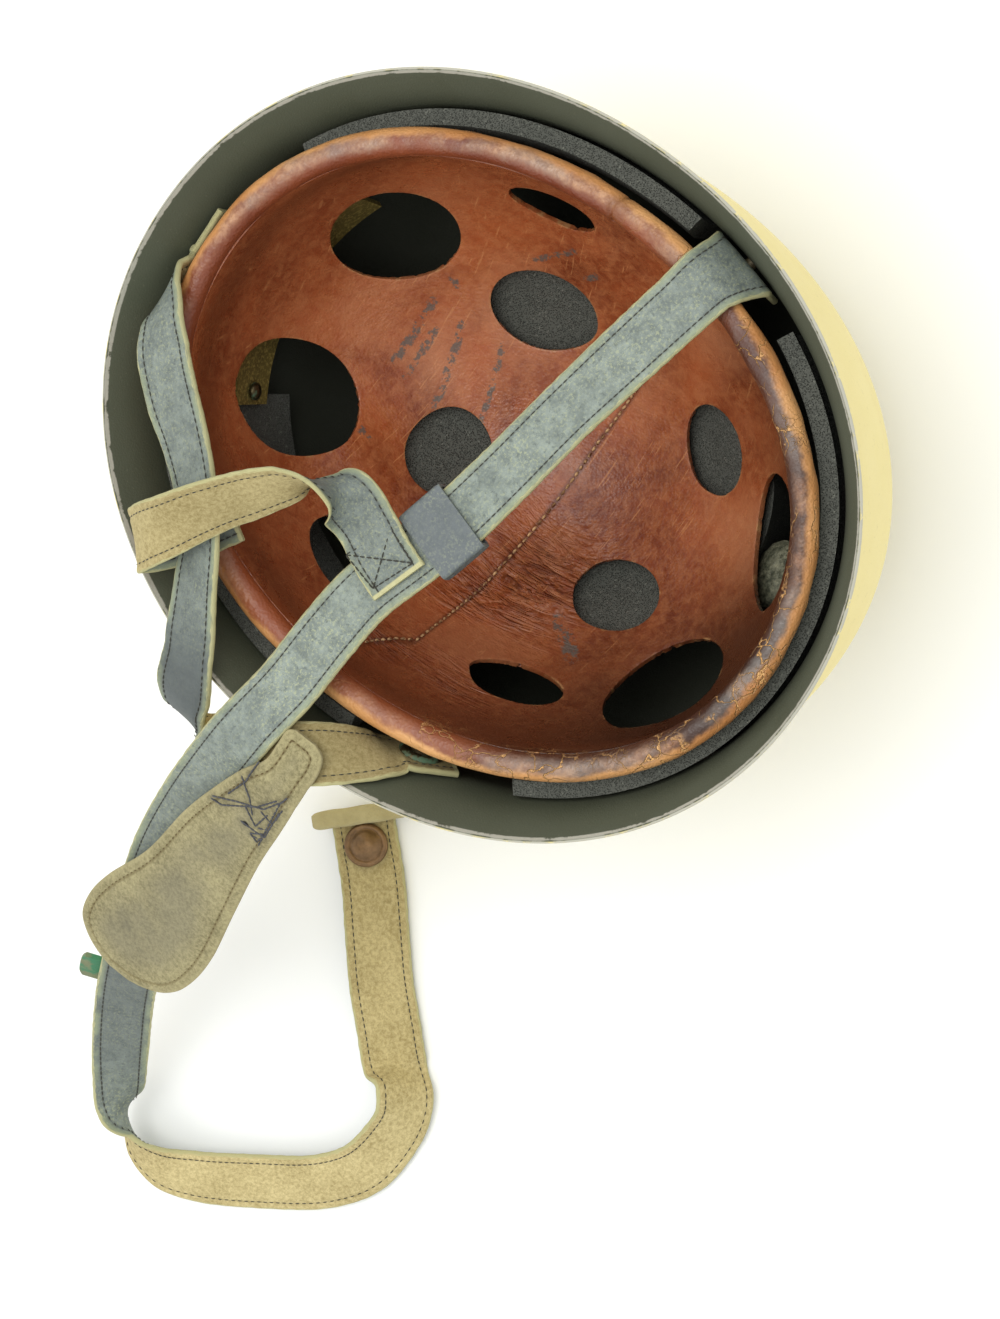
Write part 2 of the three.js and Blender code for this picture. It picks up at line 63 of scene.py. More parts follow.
def mesh_object(name, points, faces):
    """Object at the origin whose mesh has these points, in metres, and faces."""
    mesh = bpy.data.meshes.new(name)
    mesh.from_pydata(np.asarray(points).tolist(), [], [list(map(int, face)) for face in faces])
    mesh.validate()
    piece = bpy.data.objects.new(name, mesh)
    bpy.context.scene.collection.objects.link(piece)
    return piece


def new_material(name):
    """Material with one Principled shader, and that shader."""
    material = bpy.data.materials.new(name)
    material.use_nodes = True
    return material, material.node_tree.nodes["Principled BSDF"]


def feed(socket, value):
    """Links a socket to another node's output, or sets its value."""
    if isinstance(value, bpy.types.NodeSocket):
        socket.id_data.links.new(value, socket)
    else:
        socket.default_value = value


def coat(shader, colour, roughness, normal=None, metallic=0.0):
    """A shader's colour, roughness, relief and metal, each fed from a node or set."""
    feed(shader.inputs["Base Color"], colour)
    feed(shader.inputs["Roughness"], roughness)
    feed(shader.inputs["Metallic"], metallic)
    if normal:
        feed(shader.inputs["Normal"], normal)


FLOOR_REACH = 4
corners = [(x * FLOOR_REACH, y * FLOOR_REACH, 0) for x, y in ((-1, -1), (1, -1), (1, 1), (-1, 1))]
table = mesh_object("table_top", corners, [(0, 1, 2, 3)])
table_finish, shader = new_material("white_table")
coat(shader, paint(250, 250, 248), 0.85)
table.data.materials.append(table_finish)


def soft_light(name, place, aim, size, power):
    """Square area light at one point, turned to shine at another."""
    light = bpy.data.lights.new(name, "AREA")
    light.shape = "SQUARE"
    light.size = size
    light.energy = power
    lamp = bpy.data.objects.new(name, light)
    back = Vector(place) - Vector(aim)
    lamp.matrix_world = Matrix.Translation(place) @ back.to_track_quat("Z", "Y").to_matrix().to_4x4()
    bpy.context.scene.collection.objects.link(lamp)


soft_light("overhead", (0.3, 0.2, 2.4), (0, 0, 0), 1.5, 25)
soft_light("side", (-1.5, 0.6, 1.5), (0, 0, 0.05), 1.5, 7)
world = bpy.data.worlds.new("studio")
world.use_nodes = True
sky = world.node_tree.nodes["Background"]
feed(sky.inputs["Color"], (0.95, 0.98, 1.0, 1))
feed(sky.inputs["Strength"], 0.95)
bpy.context.scene.world = world
bpy.context.scene.view_settings.view_transform = "Standard"


# Shell: one piece of pressed steel, drawn to a deep bowl with a slightly flared raw rim. It is
# painted dark olive inside and sand over that outside, and the paint is worn off the edge. Its
# sizes, like those of every piece, are in millimetres.
MM = 0.001
SHELL = dict(half_width=121, half_length=140, height=160, wall=1.5)
RIM = dict(flare=13, depth=30, curve=1.6)
DOME = dict(depth=120, power=2.6, crown_flat=0.14)
OVAL_POWER = 2.06


def oval(angle, half_width, half_length, z):
    """Points of a slightly squared ellipse: the reach is the -1/p power of |cos|^p + |sin|^p."""
    c, s = np.cos(angle), np.sin(angle)
    reach = (np.abs(c) ** OVAL_POWER + np.abs(s) ** OVAL_POWER) ** (-1 / OVAL_POWER)
    x, y, z = np.broadcast_arrays(half_width * reach * c, half_length * reach * s, z)
    return np.stack([x, y, z], -1)


def unit(vectors):
    """Vectors divided by their own length."""
    return vectors / np.linalg.norm(vectors, axis=-1, keepdims=True)


def oval_angle(azimuth):
    """The oval's own angle for a compass direction in degrees."""
    turn = np.radians(azimuth)
    return np.arctan2(np.sin(turn) / SHELL["half_length"], np.cos(turn) / SHELL["half_width"])


def shell_point(angle, z):
    """Outer face of the shell: an oval at each height, whose half-axes follow a superellipse
    dome below and gain the flare, a power curve, over the top of the wall."""
    rise = np.maximum(0, (DOME["depth"] - z) / DOME["depth"])
    crown = 1 - DOME["crown_flat"] ** DOME["power"]
    share = np.maximum(0, 1 - rise ** DOME["power"] * crown) ** (1 / DOME["power"])
    along = np.minimum(1, (SHELL["height"] - z) / RIM["depth"])
    inset = RIM["flare"] * (1 - (1 - along) ** RIM["curve"])
    return oval(angle, (SHELL["half_width"] - inset) * share, (SHELL["half_length"] - inset) * share, z)


def shell_normal(angle, z):
    """Outward direction of the shell's face: the cross product of its slopes round and up."""
    low, high = np.maximum(0, z - 0.2), np.minimum(SHELL["height"], z + 0.2)
    around = shell_point(angle + 0.02, z) - shell_point(angle - 0.02, z)
    return unit(np.cross(around, shell_point(angle, high) - shell_point(angle, low)))


def inside_shell(angle, z, depth):
    """Points a depth inside the outer face, no higher than the rim."""
    points = shell_point(angle, z) - shell_normal(angle, z) * depth
    points[..., 2] = np.minimum(points[..., 2], SHELL["height"])
    return points


def skin(rows, wrapped=False):
    """Points and faces of rows of points, each row a closed ring. Open stacks are closed by a
    fan to the middle of the first and last ring; a wrapped stack joins its two ends."""
    count, round_ = rows.shape[:2]
    index = np.arange(count * round_).reshape(count, round_)
    upper = np.roll(index, -1, 0) if wrapped else index[1:]
    lower = index if wrapped else index[:-1]
    quads = np.stack([lower, np.roll(lower, -1, 1), np.roll(upper, -1, 1), upper], -1).reshape(-1, 4)
    points = rows.reshape(-1, 3)
    faces = quads.tolist()
    if not wrapped:
        points = np.vstack([points, rows[0].mean(0), rows[-1].mean(0)])
        start, end = len(points) - 2, len(points) - 1
        faces += np.stack([np.roll(index[0], -1), index[0], np.full(round_, start)], -1).tolist()
        faces += np.stack([index[-1], np.roll(index[-1], -1), np.full(round_, end)], -1).tolist()
    return points, faces


def store(piece, name, values):
    """Puts one number or one vector per point into the mesh as an attribute."""
    values = np.asarray(values, dtype=np.float32)
    kind = "FLOAT_VECTOR" if values.ndim == 2 else "FLOAT"
    attribute = piece.data.attributes.new(name, kind, "POINT")
    attribute.data.foreach_set("vector" if values.ndim == 2 else "value", values.ravel())


def smooth(piece, angle=None):
    """Smooth shading, kept sharp over edges that turn by more than an angle in degrees."""
    piece.data.shade_smooth()
    if angle:
        piece.data.set_sharp_from_angle(angle=np.radians(angle))


def made(name, rows, sharp=None, wrapped=False):
    """Piece under a skin over rows of points, shaded smooth between its sharp edges."""
    points, faces = skin(rows, wrapped)
    piece = mesh_object(name, points * MM, faces)
    smooth(piece, sharp)
    return piece


def wander(values, seed, slow, fast, waves=7):
    """Smooth seeded unevenness between about -1 and 1: a sum of sines of random pace and phase."""
    rng = np.random.default_rng(seed)
    pace = rng.uniform(slow, fast, waves)
    phase = rng.uniform(0, 2 * np.pi, waves)
    return np.sin(np.multiply.outer(values, pace) + phase).sum(-1) / np.sqrt(waves / 2) / 1.6


def dress(piece, material, node=None):
    """Gives a piece its material, its body and the node it stands for."""
    piece.data.materials.append(material)
    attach(piece, "root")
    if node:
        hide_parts(node)


def add_node(kind, inputs, tree=None, **settings):
    """One shader node with its settings, its inputs fed. It goes into the given tree, or else
    into the one that its links come from."""
    tree = tree or next(v.id_data for v in inputs.values() if isinstance(v, bpy.types.NodeSocket))
    node = tree.nodes.new(kind)
    for key, value in settings.items():
        setattr(node, key, value)
    for key, value in inputs.items():
        feed(node.inputs[key], value)
    return node


def field(shader, name, output="Fac"):
    """A mesh attribute, read by name in a shader's tree."""
    return add_node("ShaderNodeAttribute", {}, shader.id_data, attribute_name=name).outputs[output]


def place_of(shader):
    """Object coordinates in a shader's tree."""
    return add_node("ShaderNodeTexCoord", {}, shader.id_data).outputs["Object"]


def parts_of(place):
    """X, Y and Z of a place."""
    return add_node("ShaderNodeSeparateXYZ", {"Vector": place}).outputs


def noise(where, scale, detail=4.0, rough=0.55, warp=0.0):
    """Value of a fractal noise."""
    values = {"Vector": where, "Scale": scale, "Detail": detail, "Roughness": rough, "Distortion": warp}
    return add_node("ShaderNodeTexNoise", values).outputs["Fac"]


def spread(value, low, high, to_low=0.0, to_high=1.0):
    """A value taken from one range to another, held at the ends, with soft shoulders."""
    values = {"Value": value, "From Min": low, "From Max": high, "To Min": to_low, "To Max": to_high}
    return add_node("ShaderNodeMapRange", values, interpolation_type="SMOOTHSTEP").outputs["Result"]


def sums(operation, first, second):
    """Result of one sum on two values."""
    return add_node("ShaderNodeMath", {0: first, 1: second}, operation=operation).outputs[0]


def times(first, second):
    """Product of two values."""
    return sums("MULTIPLY", first, second)


def plus(first, second):
    """Sum of two values."""
    return sums("ADD", first, second)


def tint(share, first, second):
    """Two colours mixed by a share of the second."""
    return add_node("ShaderNodeMix", {0: share, 6: first, 7: second}, data_type="RGBA").outputs[2]


def over(tone, colour, share, strength=1.0):
    """A tone with a colour laid over it by a share, which a strength thins."""
    return tint(share if strength == 1.0 else times(share, strength), tone, colour)


def relief(height, depth, base=None):
    """Normal of a surface raised by a height times a depth in metres, over another relief."""
    values = {"Height": height, "Distance": depth, "Strength": 1.0}
    if base:
        values["Normal"] = base
    return add_node("ShaderNodeBump", values).outputs["Normal"]


def full_turn(steps):
    """Angles of equal steps once round."""
    return np.linspace(0, 2 * np.pi, steps, endpoint=False)


# Rows run from the crown up the outside, over the rounded raw edge and down the inside
LIP = dict(z=159.4, rise=0.8, wear=0.55)
CROWN = dict(half_width=15.1, half_length=17.8)
shell_turn = full_turn(240)
dome_share = np.linspace(0, 1, 34)
dome_z = DOME["depth"] * (1 - np.cos(dome_share * np.pi / 2))
shell_z = np.concatenate([dome_z, np.linspace(DOME["depth"] + 2, LIP["z"], 24)])
crown_rows = [oval(shell_turn, CROWN["half_width"] * share, CROWN["half_length"] * share, 0.0)
              for share in (0.25, 0.5, 0.75)]
outer_rows = [shell_point(shell_turn, z) for z in shell_z]
inner_rows = [inside_shell(shell_turn, z, SHELL["wall"]) for z in shell_z[::-1]]
lip_turn = np.linspace(0, np.pi, 6)
lip_middle = inside_shell(shell_turn, LIP["z"], SHELL["wall"] / 2)
lip_out = unit(shell_point(shell_turn, LIP["z"]) - lip_middle)
lip_rows = [lip_middle + SHELL["wall"] / 2 * (np.cos(t) * lip_out + np.sin(t) * np.array([0, 0, LIP["rise"]]))
            for t in lip_turn[1:-1]]
floor_rows = [rows + (0, 0, SHELL["wall"]) for rows in crown_rows[::-1]]
shell_rows = np.array(crown_rows + outer_rows + lip_rows + inner_rows + floor_rows)
shell = made("steel_shell", shell_rows)
lip_at = len(crown_rows) + len(outer_rows) + 2
inside = np.repeat(np.arange(len(shell_rows)) >= lip_at, len(shell_turn))
store(shell, "inside", np.append(inside, [0, 1]))
worn_edge = np.exp(-np.abs(shell_rows[..., 2] - SHELL["height"]) / LIP["wear"])
store(shell, "edge", np.append(worn_edge, [0, 0]))

shell_finish, shader = new_material("shell_paint")
spot = place_of(shader)
sand_mottle = tint(noise(spot, 22), paint(226, 208, 140), paint(236, 220, 156))
sand_dust = spread(noise(spot, 420, 3), 0.62, 0.72, 0.0, 0.25)
sand = tint(sand_dust, sand_mottle, paint(190, 175, 128))
olive_mottle = tint(noise(spot, 30), paint(72, 75, 58), paint(84, 87, 70))
olive_fleck = spread(noise(spot, 900, 2), 0.66, 0.74, 0.0, 0.35)
olive = tint(olive_fleck, olive_mottle, paint(112, 112, 90))
# Painted shade: the olive darkens deep inside the shell, below about 128 mm
shaded = spread(parts_of(spot)["Z"], 0.128, 0.095, 0.0, 0.75)
both = tint(field(shader, "inside"), sand, over(olive, paint(38, 39, 33), shaded))
chips = spread(noise(spot, 160, 6, 0.7), 0.3, 0.56, 0.45, 1.15)
worn = spread(times(field(shader, "edge"), chips), 0.3, 0.62)
coat(shader, over(both, paint(182, 178, 162), worn), spread(noise(spot, 60), 0.2, 0.8, 0.62, 0.78),
     relief(noise(spot, 1400, 3), 0.00018))
dress(shell, shell_finish, "shell")


# Foam pads: three slabs of fine-celled black foam rubber, cut with a knife and glued round the
# wall between liner and shell, and a thick one under the crown.
PAD = dict(clearance=2.2, thickness=6, top=141)


def slab(front, back, steps=5):
    """Rows of closed rings round a pad between two matching grids of points: up its first side,
    over its front, down its far side and back over its back."""
    layers = np.array([back + (front - back) * share for share in np.linspace(0, 1, steps)])
    return np.concatenate([
        layers[:, :, 0].transpose(1, 0, 2),
        layers[-1, :, 1:-1],
        layers[::-1, :, -1].transpose(1, 0, 2),
        layers[0, :, -2:0:-1],
    ], 1)


def round_edges(piece, name, turn):
    """Half a millimetre taken off every edge that turns by more than an angle in radians."""
    bevel = piece.modifiers.new(name, "BEVEL")
    bevel.width, bevel.segments, bevel.limit_method, bevel.angle_limit = 0.5 * MM, 2, "ANGLE", turn


def wall_pad(name, start, end, low):
    """Pad on the wall between two directions and two heights, following the shell's curve."""
    azimuths = np.linspace(start, end, int(abs(end - start) * 1.6))
    heights = np.linspace(low, PAD["top"], 40)
    angle, z = np.meshgrid(oval_angle(azimuths), heights, indexing="ij")
    outer = SHELL["wall"] + PAD["clearance"]
    sag = 0.25 * wander(angle * 9, 5, 0.5, 2.0) * wander(z * 0.1, 6, 0.5, 2.0)
    swell = 0.4 * np.sin(np.linspace(0, np.pi, len(heights))) + 0.3 * sag
    back = inside_shell(angle, z, outer)
    front = inside_shell(angle, z, outer + PAD["thickness"]) - shell_normal(angle, z) * swell[..., None]
    pad = made(name, slab(front, back)[::-1], 40)
    round_edges(pad, "cut_edges", 0.7)
    return pad


foam_finish, shader = new_material("foam_rubber")
spot = place_of(shader)
cells = add_node("ShaderNodeTexVoronoi", {"Vector": spot, "Scale": 1900.0}).outputs["Distance"]
pores = spread(cells, 0.0, 0.6)
foam_tone = tint(noise(spot, 60), paint(82, 84, 78), paint(102, 102, 94))
dusty = spread(noise(spot, 900, 3), 0.58, 0.72, 0.0, 0.6)
foam_tone = tint(pores, paint(50, 51, 47), over(foam_tone, paint(136, 136, 124), dusty))
coat(shader, foam_tone, 0.95, relief(pores, 0.0003))
feed(shader.inputs["Specular IOR Level"], 0.25)

for place_name, start, end, low in (
        ("rear_right", -8, 68, 85), ("front", -142, -33, 85), ("rear_left", 117, 186, 62)):
    pad = wall_pad("pad_" + place_name, start, end, low)
    dress(pad, foam_finish, "foam_" + place_name)

LINER = dict(half_width=92.4, half_length=116.5, top=149.2, centre=150, depth=110, wall=2)


def liner_point(angle, polar, outward=0.0):
    """Point of the liner's bowl: an oval whose half-axes go with the sine of the polar angle,
    at a height that goes with its cosine."""
    width = (LINER["half_width"] + outward) * np.sin(polar)
    length = (LINER["half_length"] + outward) * np.sin(polar)
    return oval(angle, width, length, LINER["centre"] - (LINER["depth"] + outward) * np.cos(polar))


# The crown pad's floor follows the shell's bowl, and its top the liner's
CROWN_PAD = dict(reach=38, gap=4, low=1.2, rise=17.8, inset=0.98)
turn = full_turn(120)
reach = np.radians(CROWN_PAD["reach"])
lift = LINER["wall"] + CROWN_PAD["gap"]
floor_share = np.linspace(0.04, 1, 20)
edge_at = [liner_point(turn, reach * share, lift) for share in floor_share]
floor_z = CROWN_PAD["low"] + CROWN_PAD["rise"] * floor_share ** 2
floor_of_pad = [np.column_stack([edge[:, :2] * CROWN_PAD["inset"], np.full(len(turn), z)])
                for edge, z in zip(edge_at, floor_z)]
side_of_pad = [floor_of_pad[-1] + (edge_at[-1] - floor_of_pad[-1]) * share for share in (0.2, 0.4, 0.6, 0.8)]
top_of_pad = [liner_point(turn, polar, lift) for polar in np.linspace(reach, np.radians(1.5), 36)]
crown_pad = made("pad_crown", np.array(floor_of_pad + side_of_pad + top_of_pad), 40)
dress(crown_pad, foam_finish, "foam_crown")


# Rear band: a strip of olive webbing-like leather hung behind the liner, sewn along its lower
# edge and held by a rivet. It shows only through the rear air holes.
BAND = dict(start=74, end=119, low_start=66, low_end=81, high=104, depth=11)
azimuths = np.linspace(BAND["start"], BAND["end"], 60)
band_low = np.linspace(BAND["low_start"], BAND["low_end"], len(azimuths))
share = np.linspace(0, 1, 24)
angle = np.repeat(oval_angle(azimuths)[:, None], len(share), 1)
z = band_low[:, None] + (BAND["high"] - band_low[:, None]) * share
back = inside_shell(angle, z, BAND["depth"])
front = inside_shell(angle, z, BAND["depth"] + LINER["wall"])
band = made("olive_band", slab(front, back, 4)[::-1], 40)
band_finish, shader = new_material("olive_band")
spot = place_of(shader)
band_tone = tint(noise(spot, 90, 6, 0.7), paint(74, 62, 26), paint(128, 112, 50))
band_tone = over(band_tone, paint(150, 132, 70), spread(noise(spot, 900, 3), 0.45, 0.7))
coat(shader, band_tone, 0.9, relief(noise(spot, 1200, 3), 0.0003))
dress(band, band_finish, "rear_band")


# Rivet: a small domed brass head, closed through the olive band to fasten it behind the liner.
# Its old brass, gone brown and green, is the eyelets' too.
def seat(azimuth, z=135.0):
    """Point of the shell's outer face and its outward direction at a compass direction."""
    angle = oval_angle(azimuth)
    return shell_point(angle, z), shell_normal(angle, z)


def axes_of(out):
    """Two directions square to an axis: level, and up along the slope."""
    level = unit(np.cross((0, 0, 1), out))
    return level, np.cross(out, level)


def turned(place, out, profile, round_=32):
    """Rows of a piece turned on an axis: rings of the profile's radius at its height."""
    level, climb = axes_of(out)
    turn = full_turn(round_)
    circle = np.cos(turn)[:, None] * level + np.sin(turn)[:, None] * climb
    return np.array([place + radius * circle + height * out for radius, height in profile])


metal_finish, shader = new_material("old_brass")
spot = place_of(shader)
tarnish = tint(noise(spot, 300, 6, 0.7), paint(52, 50, 40), paint(116, 104, 74))
verdigris = spread(noise(spot, 220, 5, 0.6), 0.48, 0.6, 0.0, 0.8)
coat(shader, over(tarnish, paint(70, 108, 82), verdigris), spread(verdigris, 0.0, 1.0, 0.35, 0.8),
     relief(noise(spot, 900, 4), 0.00025), spread(verdigris, 0.0, 0.6, 0.85, 0.0))

RIVET = dict(azimuth=116.5, z=92.0, radius=3.2, dome=1.8, foot_radius=3.0, foot=0.6, stand=1.4)
rivet_top = -(BAND["depth"] + LINER["wall"] + RIVET["stand"])
dome_turn = np.linspace(0.05, np.pi / 2, 7)
rivet_profile = [(RIVET["radius"] * np.sin(t), rivet_top - RIVET["dome"] * np.cos(t)) for t in dome_turn]
rivet_profile.append((RIVET["foot_radius"], rivet_top + RIVET["foot"]))
rivet = made("band_rivet", turned(*seat(RIVET["azimuth"], RIVET["z"]), rivet_profile), 50)
dress(rivet, metal_finish, "rear_rivet")


# Front button: a scrap of grey-green leather bunched over a stud behind a front hole. Its cap is
# turned, with five waves round its edge and shallow folds that fade out towards its foot.
BUTTON = dict(place=(6, -85, 58.5), nod=-32, turn=12, radius=12, fold=0.8)
button_turn = full_turn(64)
button_profile = [(3, -2), (7, -2), (10.6, -1.9), (11.6, -1.2), (11.9, 0), (11, 1.3), (9, 2.8), (6.5, 3.9),
                  (4, 4.6), (2, 4.9), (0.6, 5)]
button_rows = []
for radius, height in button_profile:
    wave = radius * (1 + 0.05 * np.sin(5 * button_turn + radius) * radius / BUTTON["radius"])
    fold = np.abs(np.sin(3.5 * button_turn + 0.5 * radius)) ** 0.6 + 0.4 * np.sin(9 * button_turn - radius)
    folded = height + BUTTON["fold"] * (fold - 0.6) * np.clip(height / 3, 0, 1) * radius / 10
    button_rows.append(np.stack([wave * np.cos(button_turn), wave * np.sin(button_turn), folded], -1))
swing = (Matrix.Rotation(np.radians(BUTTON["nod"]), 3, "X")
         @ Matrix.Rotation(np.radians(BUTTON["turn"]), 3, "Z"))
button = made("front_scrap", np.array(button_rows) @ np.array(swing).T + BUTTON["place"], 50)
button_finish, shader = new_material("scrap_leather")
spot = place_of(shader)
scuffed = spread(noise(spot, 170, 7, 0.78), 0.36, 0.66)
coat(shader, tint(scuffed, paint(56, 60, 44), paint(150, 148, 122)), 0.5,
     relief(noise(spot, 220, 6, 0.65), 0.002))
dress(button, button_finish, "front_button")


# Liner: two halves of red-brown cowhide sewn from ear to ear into a bowl, with twelve oval air
# holes cut through. It hangs from its brim, and its grain side faces the head.
# Each hole: azimuth from the forehead towards the wearer's right, polar angle, long and short
# diameters, and the tilt of the long one from the level
HOLES = np.array([
    (12.6, 46.6, 48, 27, -27), (52, 54.3, 32, 28, 0), (124, 55.5, 32, 17, 19), (163, 54.7, 48, 40, 70),
    (-155, 58, 53, 40, -75), (-117, 59, 34, 26, 10), (-62.5, 58.2, 34, 21, -6), (-27.6, 56.4, 48, 42, -58),
    (142, 27.5, 39, 31, 25), (-141, 28.5, 32, 30, 60), (33.3, 26, 32, 26, -9), (-41, 31, 33, 27.5, 17)])


def off_hole(points):
    """How far each point lies outside the nearest hole's wall, and the way straight out of it.
    The wall is an oval cylinder along the bowl's own normal; the distance is the oval's
    equation divided by its slope."""
    best = np.full(len(points), 1e3)
    way = np.zeros_like(points)
    scale = np.array([LINER["half_width"], LINER["half_length"], LINER["depth"]])
    for number, (azimuth, polar, long_, short, tilt) in enumerate(HOLES):
        turn = np.radians(azimuth - 90)
        angle = np.arctan2(np.sin(turn) / scale[1], np.cos(turn) / scale[0])
        centre = liner_point(angle, np.radians(polar))
        axis = unit((centre - (0, 0, LINER["centre"])) / scale ** 2)
        level, climb = axes_of(axis)
        tilt = np.radians(tilt)
        first = level * np.cos(tilt) + climb * np.sin(tilt)
        second = np.cross(axis, first)
        arm = points - centre
        u, v = arm @ first, arm @ second
        around = np.arctan2(v / short, u / long_)
        ragged = 1 + 0.02 * wander(around * 2, 40 + number, 1, 2.5) * np.sin(around * 0.5) ** 2
        a, b = long_ / 2 * ragged, short / 2 * ragged
        level_set = np.sqrt((u / a) ** 2 + (v / b) ** 2)
        slope_u, slope_v = u / a ** 2 / np.maximum(level_set, 1e-6), v / b ** 2 / np.maximum(level_set, 1e-6)
        steep = np.maximum(np.hypot(slope_u, slope_v), 1e-6)
        off = (level_set - 1) / steep
        near = (off < best) & (np.abs(arm @ axis) < 30)
        out = (slope_u / steep)[:, None] * first + (slope_v / steep)[:, None] * second
        best = np.where(near, off, best)
        way = np.where(near[:, None], out, way)
    return best, way


liner_turn = full_turn(440)
liner_reach = np.arccos((LINER["centre"] - LINER["top"]) / LINER["depth"])
liner_polar = np.linspace(np.radians(0.8), liner_reach, 190)
angle, polar = np.meshgrid(liner_turn, liner_polar, indexing="xy")
bowl = liner_point(angle, polar).reshape(-1, 3)
index = np.arange(len(bowl)).reshape(angle.shape)
low, high = index[:-1], index[1:]
low_next, high_next = np.roll(low, -1, 1), np.roll(high, -1, 1)
triangles = np.concatenate([np.stack([low, high_next, low_next], -1).reshape(-1, 3),
                            np.stack([low, high, high_next], -1).reshape(-1, 3)])
# Each mesh edge that crosses a hole's wall has its nearer end drawn onto the wall, and what is
# left inside is dropped, so the cut runs true.
off, way = off_hole(bowl)
ends = np.concatenate([triangles[:, [0, 1]], triangles[:, [1, 2]], triangles[:, [2, 0]]])
ends = ends[off[ends[:, 0]] * off[ends[:, 1]] < 0]
nearer = np.where(np.abs(off[ends[:, 0]]) < np.abs(off[ends[:, 1]]), ends[:, 0], ends[:, 1])
nearer = np.unique(nearer)
bowl[nearer] -= way[nearer] * off[nearer][:, None]
off[nearer] = 0
kept = triangles[(off[triangles] > 0).any(1)]
pole = len(bowl)
fan = np.stack([np.full(len(liner_turn), pole), index[0], np.roll(index[0], -1)], -1)
kept = np.vstack([kept, fan])
used = np.zeros(pole + 1, bool)
used[kept] = True
points = np.vstack([bowl, liner_point(np.zeros(1), np.zeros(1))])
renumber = np.cumsum(used) - 1
points, kept = points[used], renumber[kept]
FAR_FROM_HOLES = 50.0
off = np.append(off, FAR_FROM_HOLES)[used]
angle_at = np.append(angle.ravel(), 0)[used]
polar_at = np.append(polar.ravel(), 0)[used]


def near_line(points, start, end, soft):
    """Closeness to a line drawn on the hide, seen from above: a bell curve of the distance."""
    start, end = np.array(start, float), np.array(end, float)
    way = end - start
    share = np.clip(((points[:, :2] - start) @ way) / (way @ way), 0, 1)
    gap = points[:, :2] - start - share[:, None] * way
    return np.exp(-(gap ** 2).sum(1) / soft ** 2)


def bell(points, place, reach):
    """Closeness to a place: a bell curve of the distance."""
    return np.exp(-((points - place) ** 2).sum(1) / reach ** 2)


# The hide isn't taut. It swells between its holes, draws in to meet the rolled edge, and has
# broad soft folds: x, y, z, reach and height of each
FOLDS = ((-76, -12, 90, 16, 2.2), (-72, -36, 90, 14, 1.8), (-50, 58, 74, 15, 1.8), (-44, 68, 78, 12, 1.4),
         (8, 40, 47, 22, 1.2), (-10, -46, 50, 18, 1.2), (-60, -2, 64, 10, -1.2), (58, 30, 70, 18, 1.4),
         (20, -92, 88, 16, 1.2), (-60, 20, 70, 14, -1.0), (60, -20, 66, 18, 1.0))
SLACK = dict(wave=0.8, fold=1.5, hole_dip=0.5, hole_soft=4, end=146, fade=14)
DRAW = dict(low=96, rise=52, pull=2.9)


def liner_relief(points, polar_at, off):
    """Height of the hide off the plain bowl: slow waves, the folds' bells, a dip at each hole's
    edge, all fading out towards the rolled edge."""
    waves = wander(points[:, 0] * 0.05 + points[:, 1] * 0.03, 3, 0.6, 2.2)
    height = SLACK["wave"] * waves * np.sin(polar_at) ** 2
    for x, y, z, reach, fold in FOLDS:
        height = height + SLACK["fold"] * fold * bell(points, (x, y, z), reach)
    height = height - SLACK["hole_dip"] * np.exp(-np.maximum(off, 0) / SLACK["hole_soft"])
    return height * np.clip((SLACK["end"] - points[:, 2]) / SLACK["fade"], 0, 1)


def drawn_in(points, polar_at, off):
    """Points moved towards the head by the relief, and inward at the brim by a smooth step."""
    inward = unit((0, 0, LINER["centre"] + 10) - points)
    points = points + inward * liner_relief(points, polar_at, off)[:, None]
    rise = np.clip((points[:, 2] - DRAW["low"]) / DRAW["rise"], 0, 1)
    flat = unit(points[:, :2] + 1e-9)
    points[:, :2] -= flat * (DRAW["pull"] * rise ** 2 * (3 - 2 * rise))[:, None]
    return points


# The halves are sewn from ear to ear; the seam turns aside near the brim at the wearer's left
SEAM_TURNS = np.array([(-88, 9), (-86, 7.5), (-83, 3.5), (-81, -1.5), (-75, -1.5), (-60, -1), (-40, -1),
                       (0, -0.5), (30, -3), (88, -2)])
seam_x = np.linspace(-87.5, 86, 700)
SEAM = np.stack([seam_x, np.interp(seam_x, SEAM_TURNS[:, 0], SEAM_TURNS[:, 1])], -1)

# Scuffs are scraped lines seen from above, with their softness; creases lie where the hide has
# been pushed in: a place, its reach and its share
scuffs = np.zeros(len(points))
for start, end, soft in (
        ((9, 60), (-22, 52), 1.3), ((12, 46), (-19, 36.5), 1.1), ((11, 71), (-14, 70.5), 1.4),
        ((2, 66), (-17, 65), 1.3), ((45, 48), (58, 36), 1.0), ((48.5, 31), (54, 26.5), 1.3),
        ((-52.5, -30), (-57.5, -44.5), 2.2), ((22, 69), (20, 67.5), 1.3), ((-40, 66), (-41, 62), 1.2)):
    scuffs = np.maximum(scuffs, near_line(points, start, end, soft))
creases = np.zeros(len(points))
for x, y, z, reach, share in ((-50, -14, 60, 19, 1), (-61, -4, 68, 13, 1), (-41, -27, 55, 14, 0.8),
                              (-81, -22, 104, 17, 0.45), (-84, 6, 108, 15, 0.45)):
    creases = np.maximum(creases, share * bell(points, (x, y, z), reach))
creases *= 1 - 0.9 * bell(points, (-76, -14, 90), 13)
points = drawn_in(points, polar_at, off)
seam_gap = np.hypot(points[:, 0] - SEAM[:, :1], points[:, 1] - SEAM[:, 1:]).min(0)
liner = mesh_object("leather_liner", points * MM, kept)
store(liner, "seam_gap", seam_gap * MM)
store(liner, "off_hole", off * MM)
BRIM = dict(low=116, rise=32)
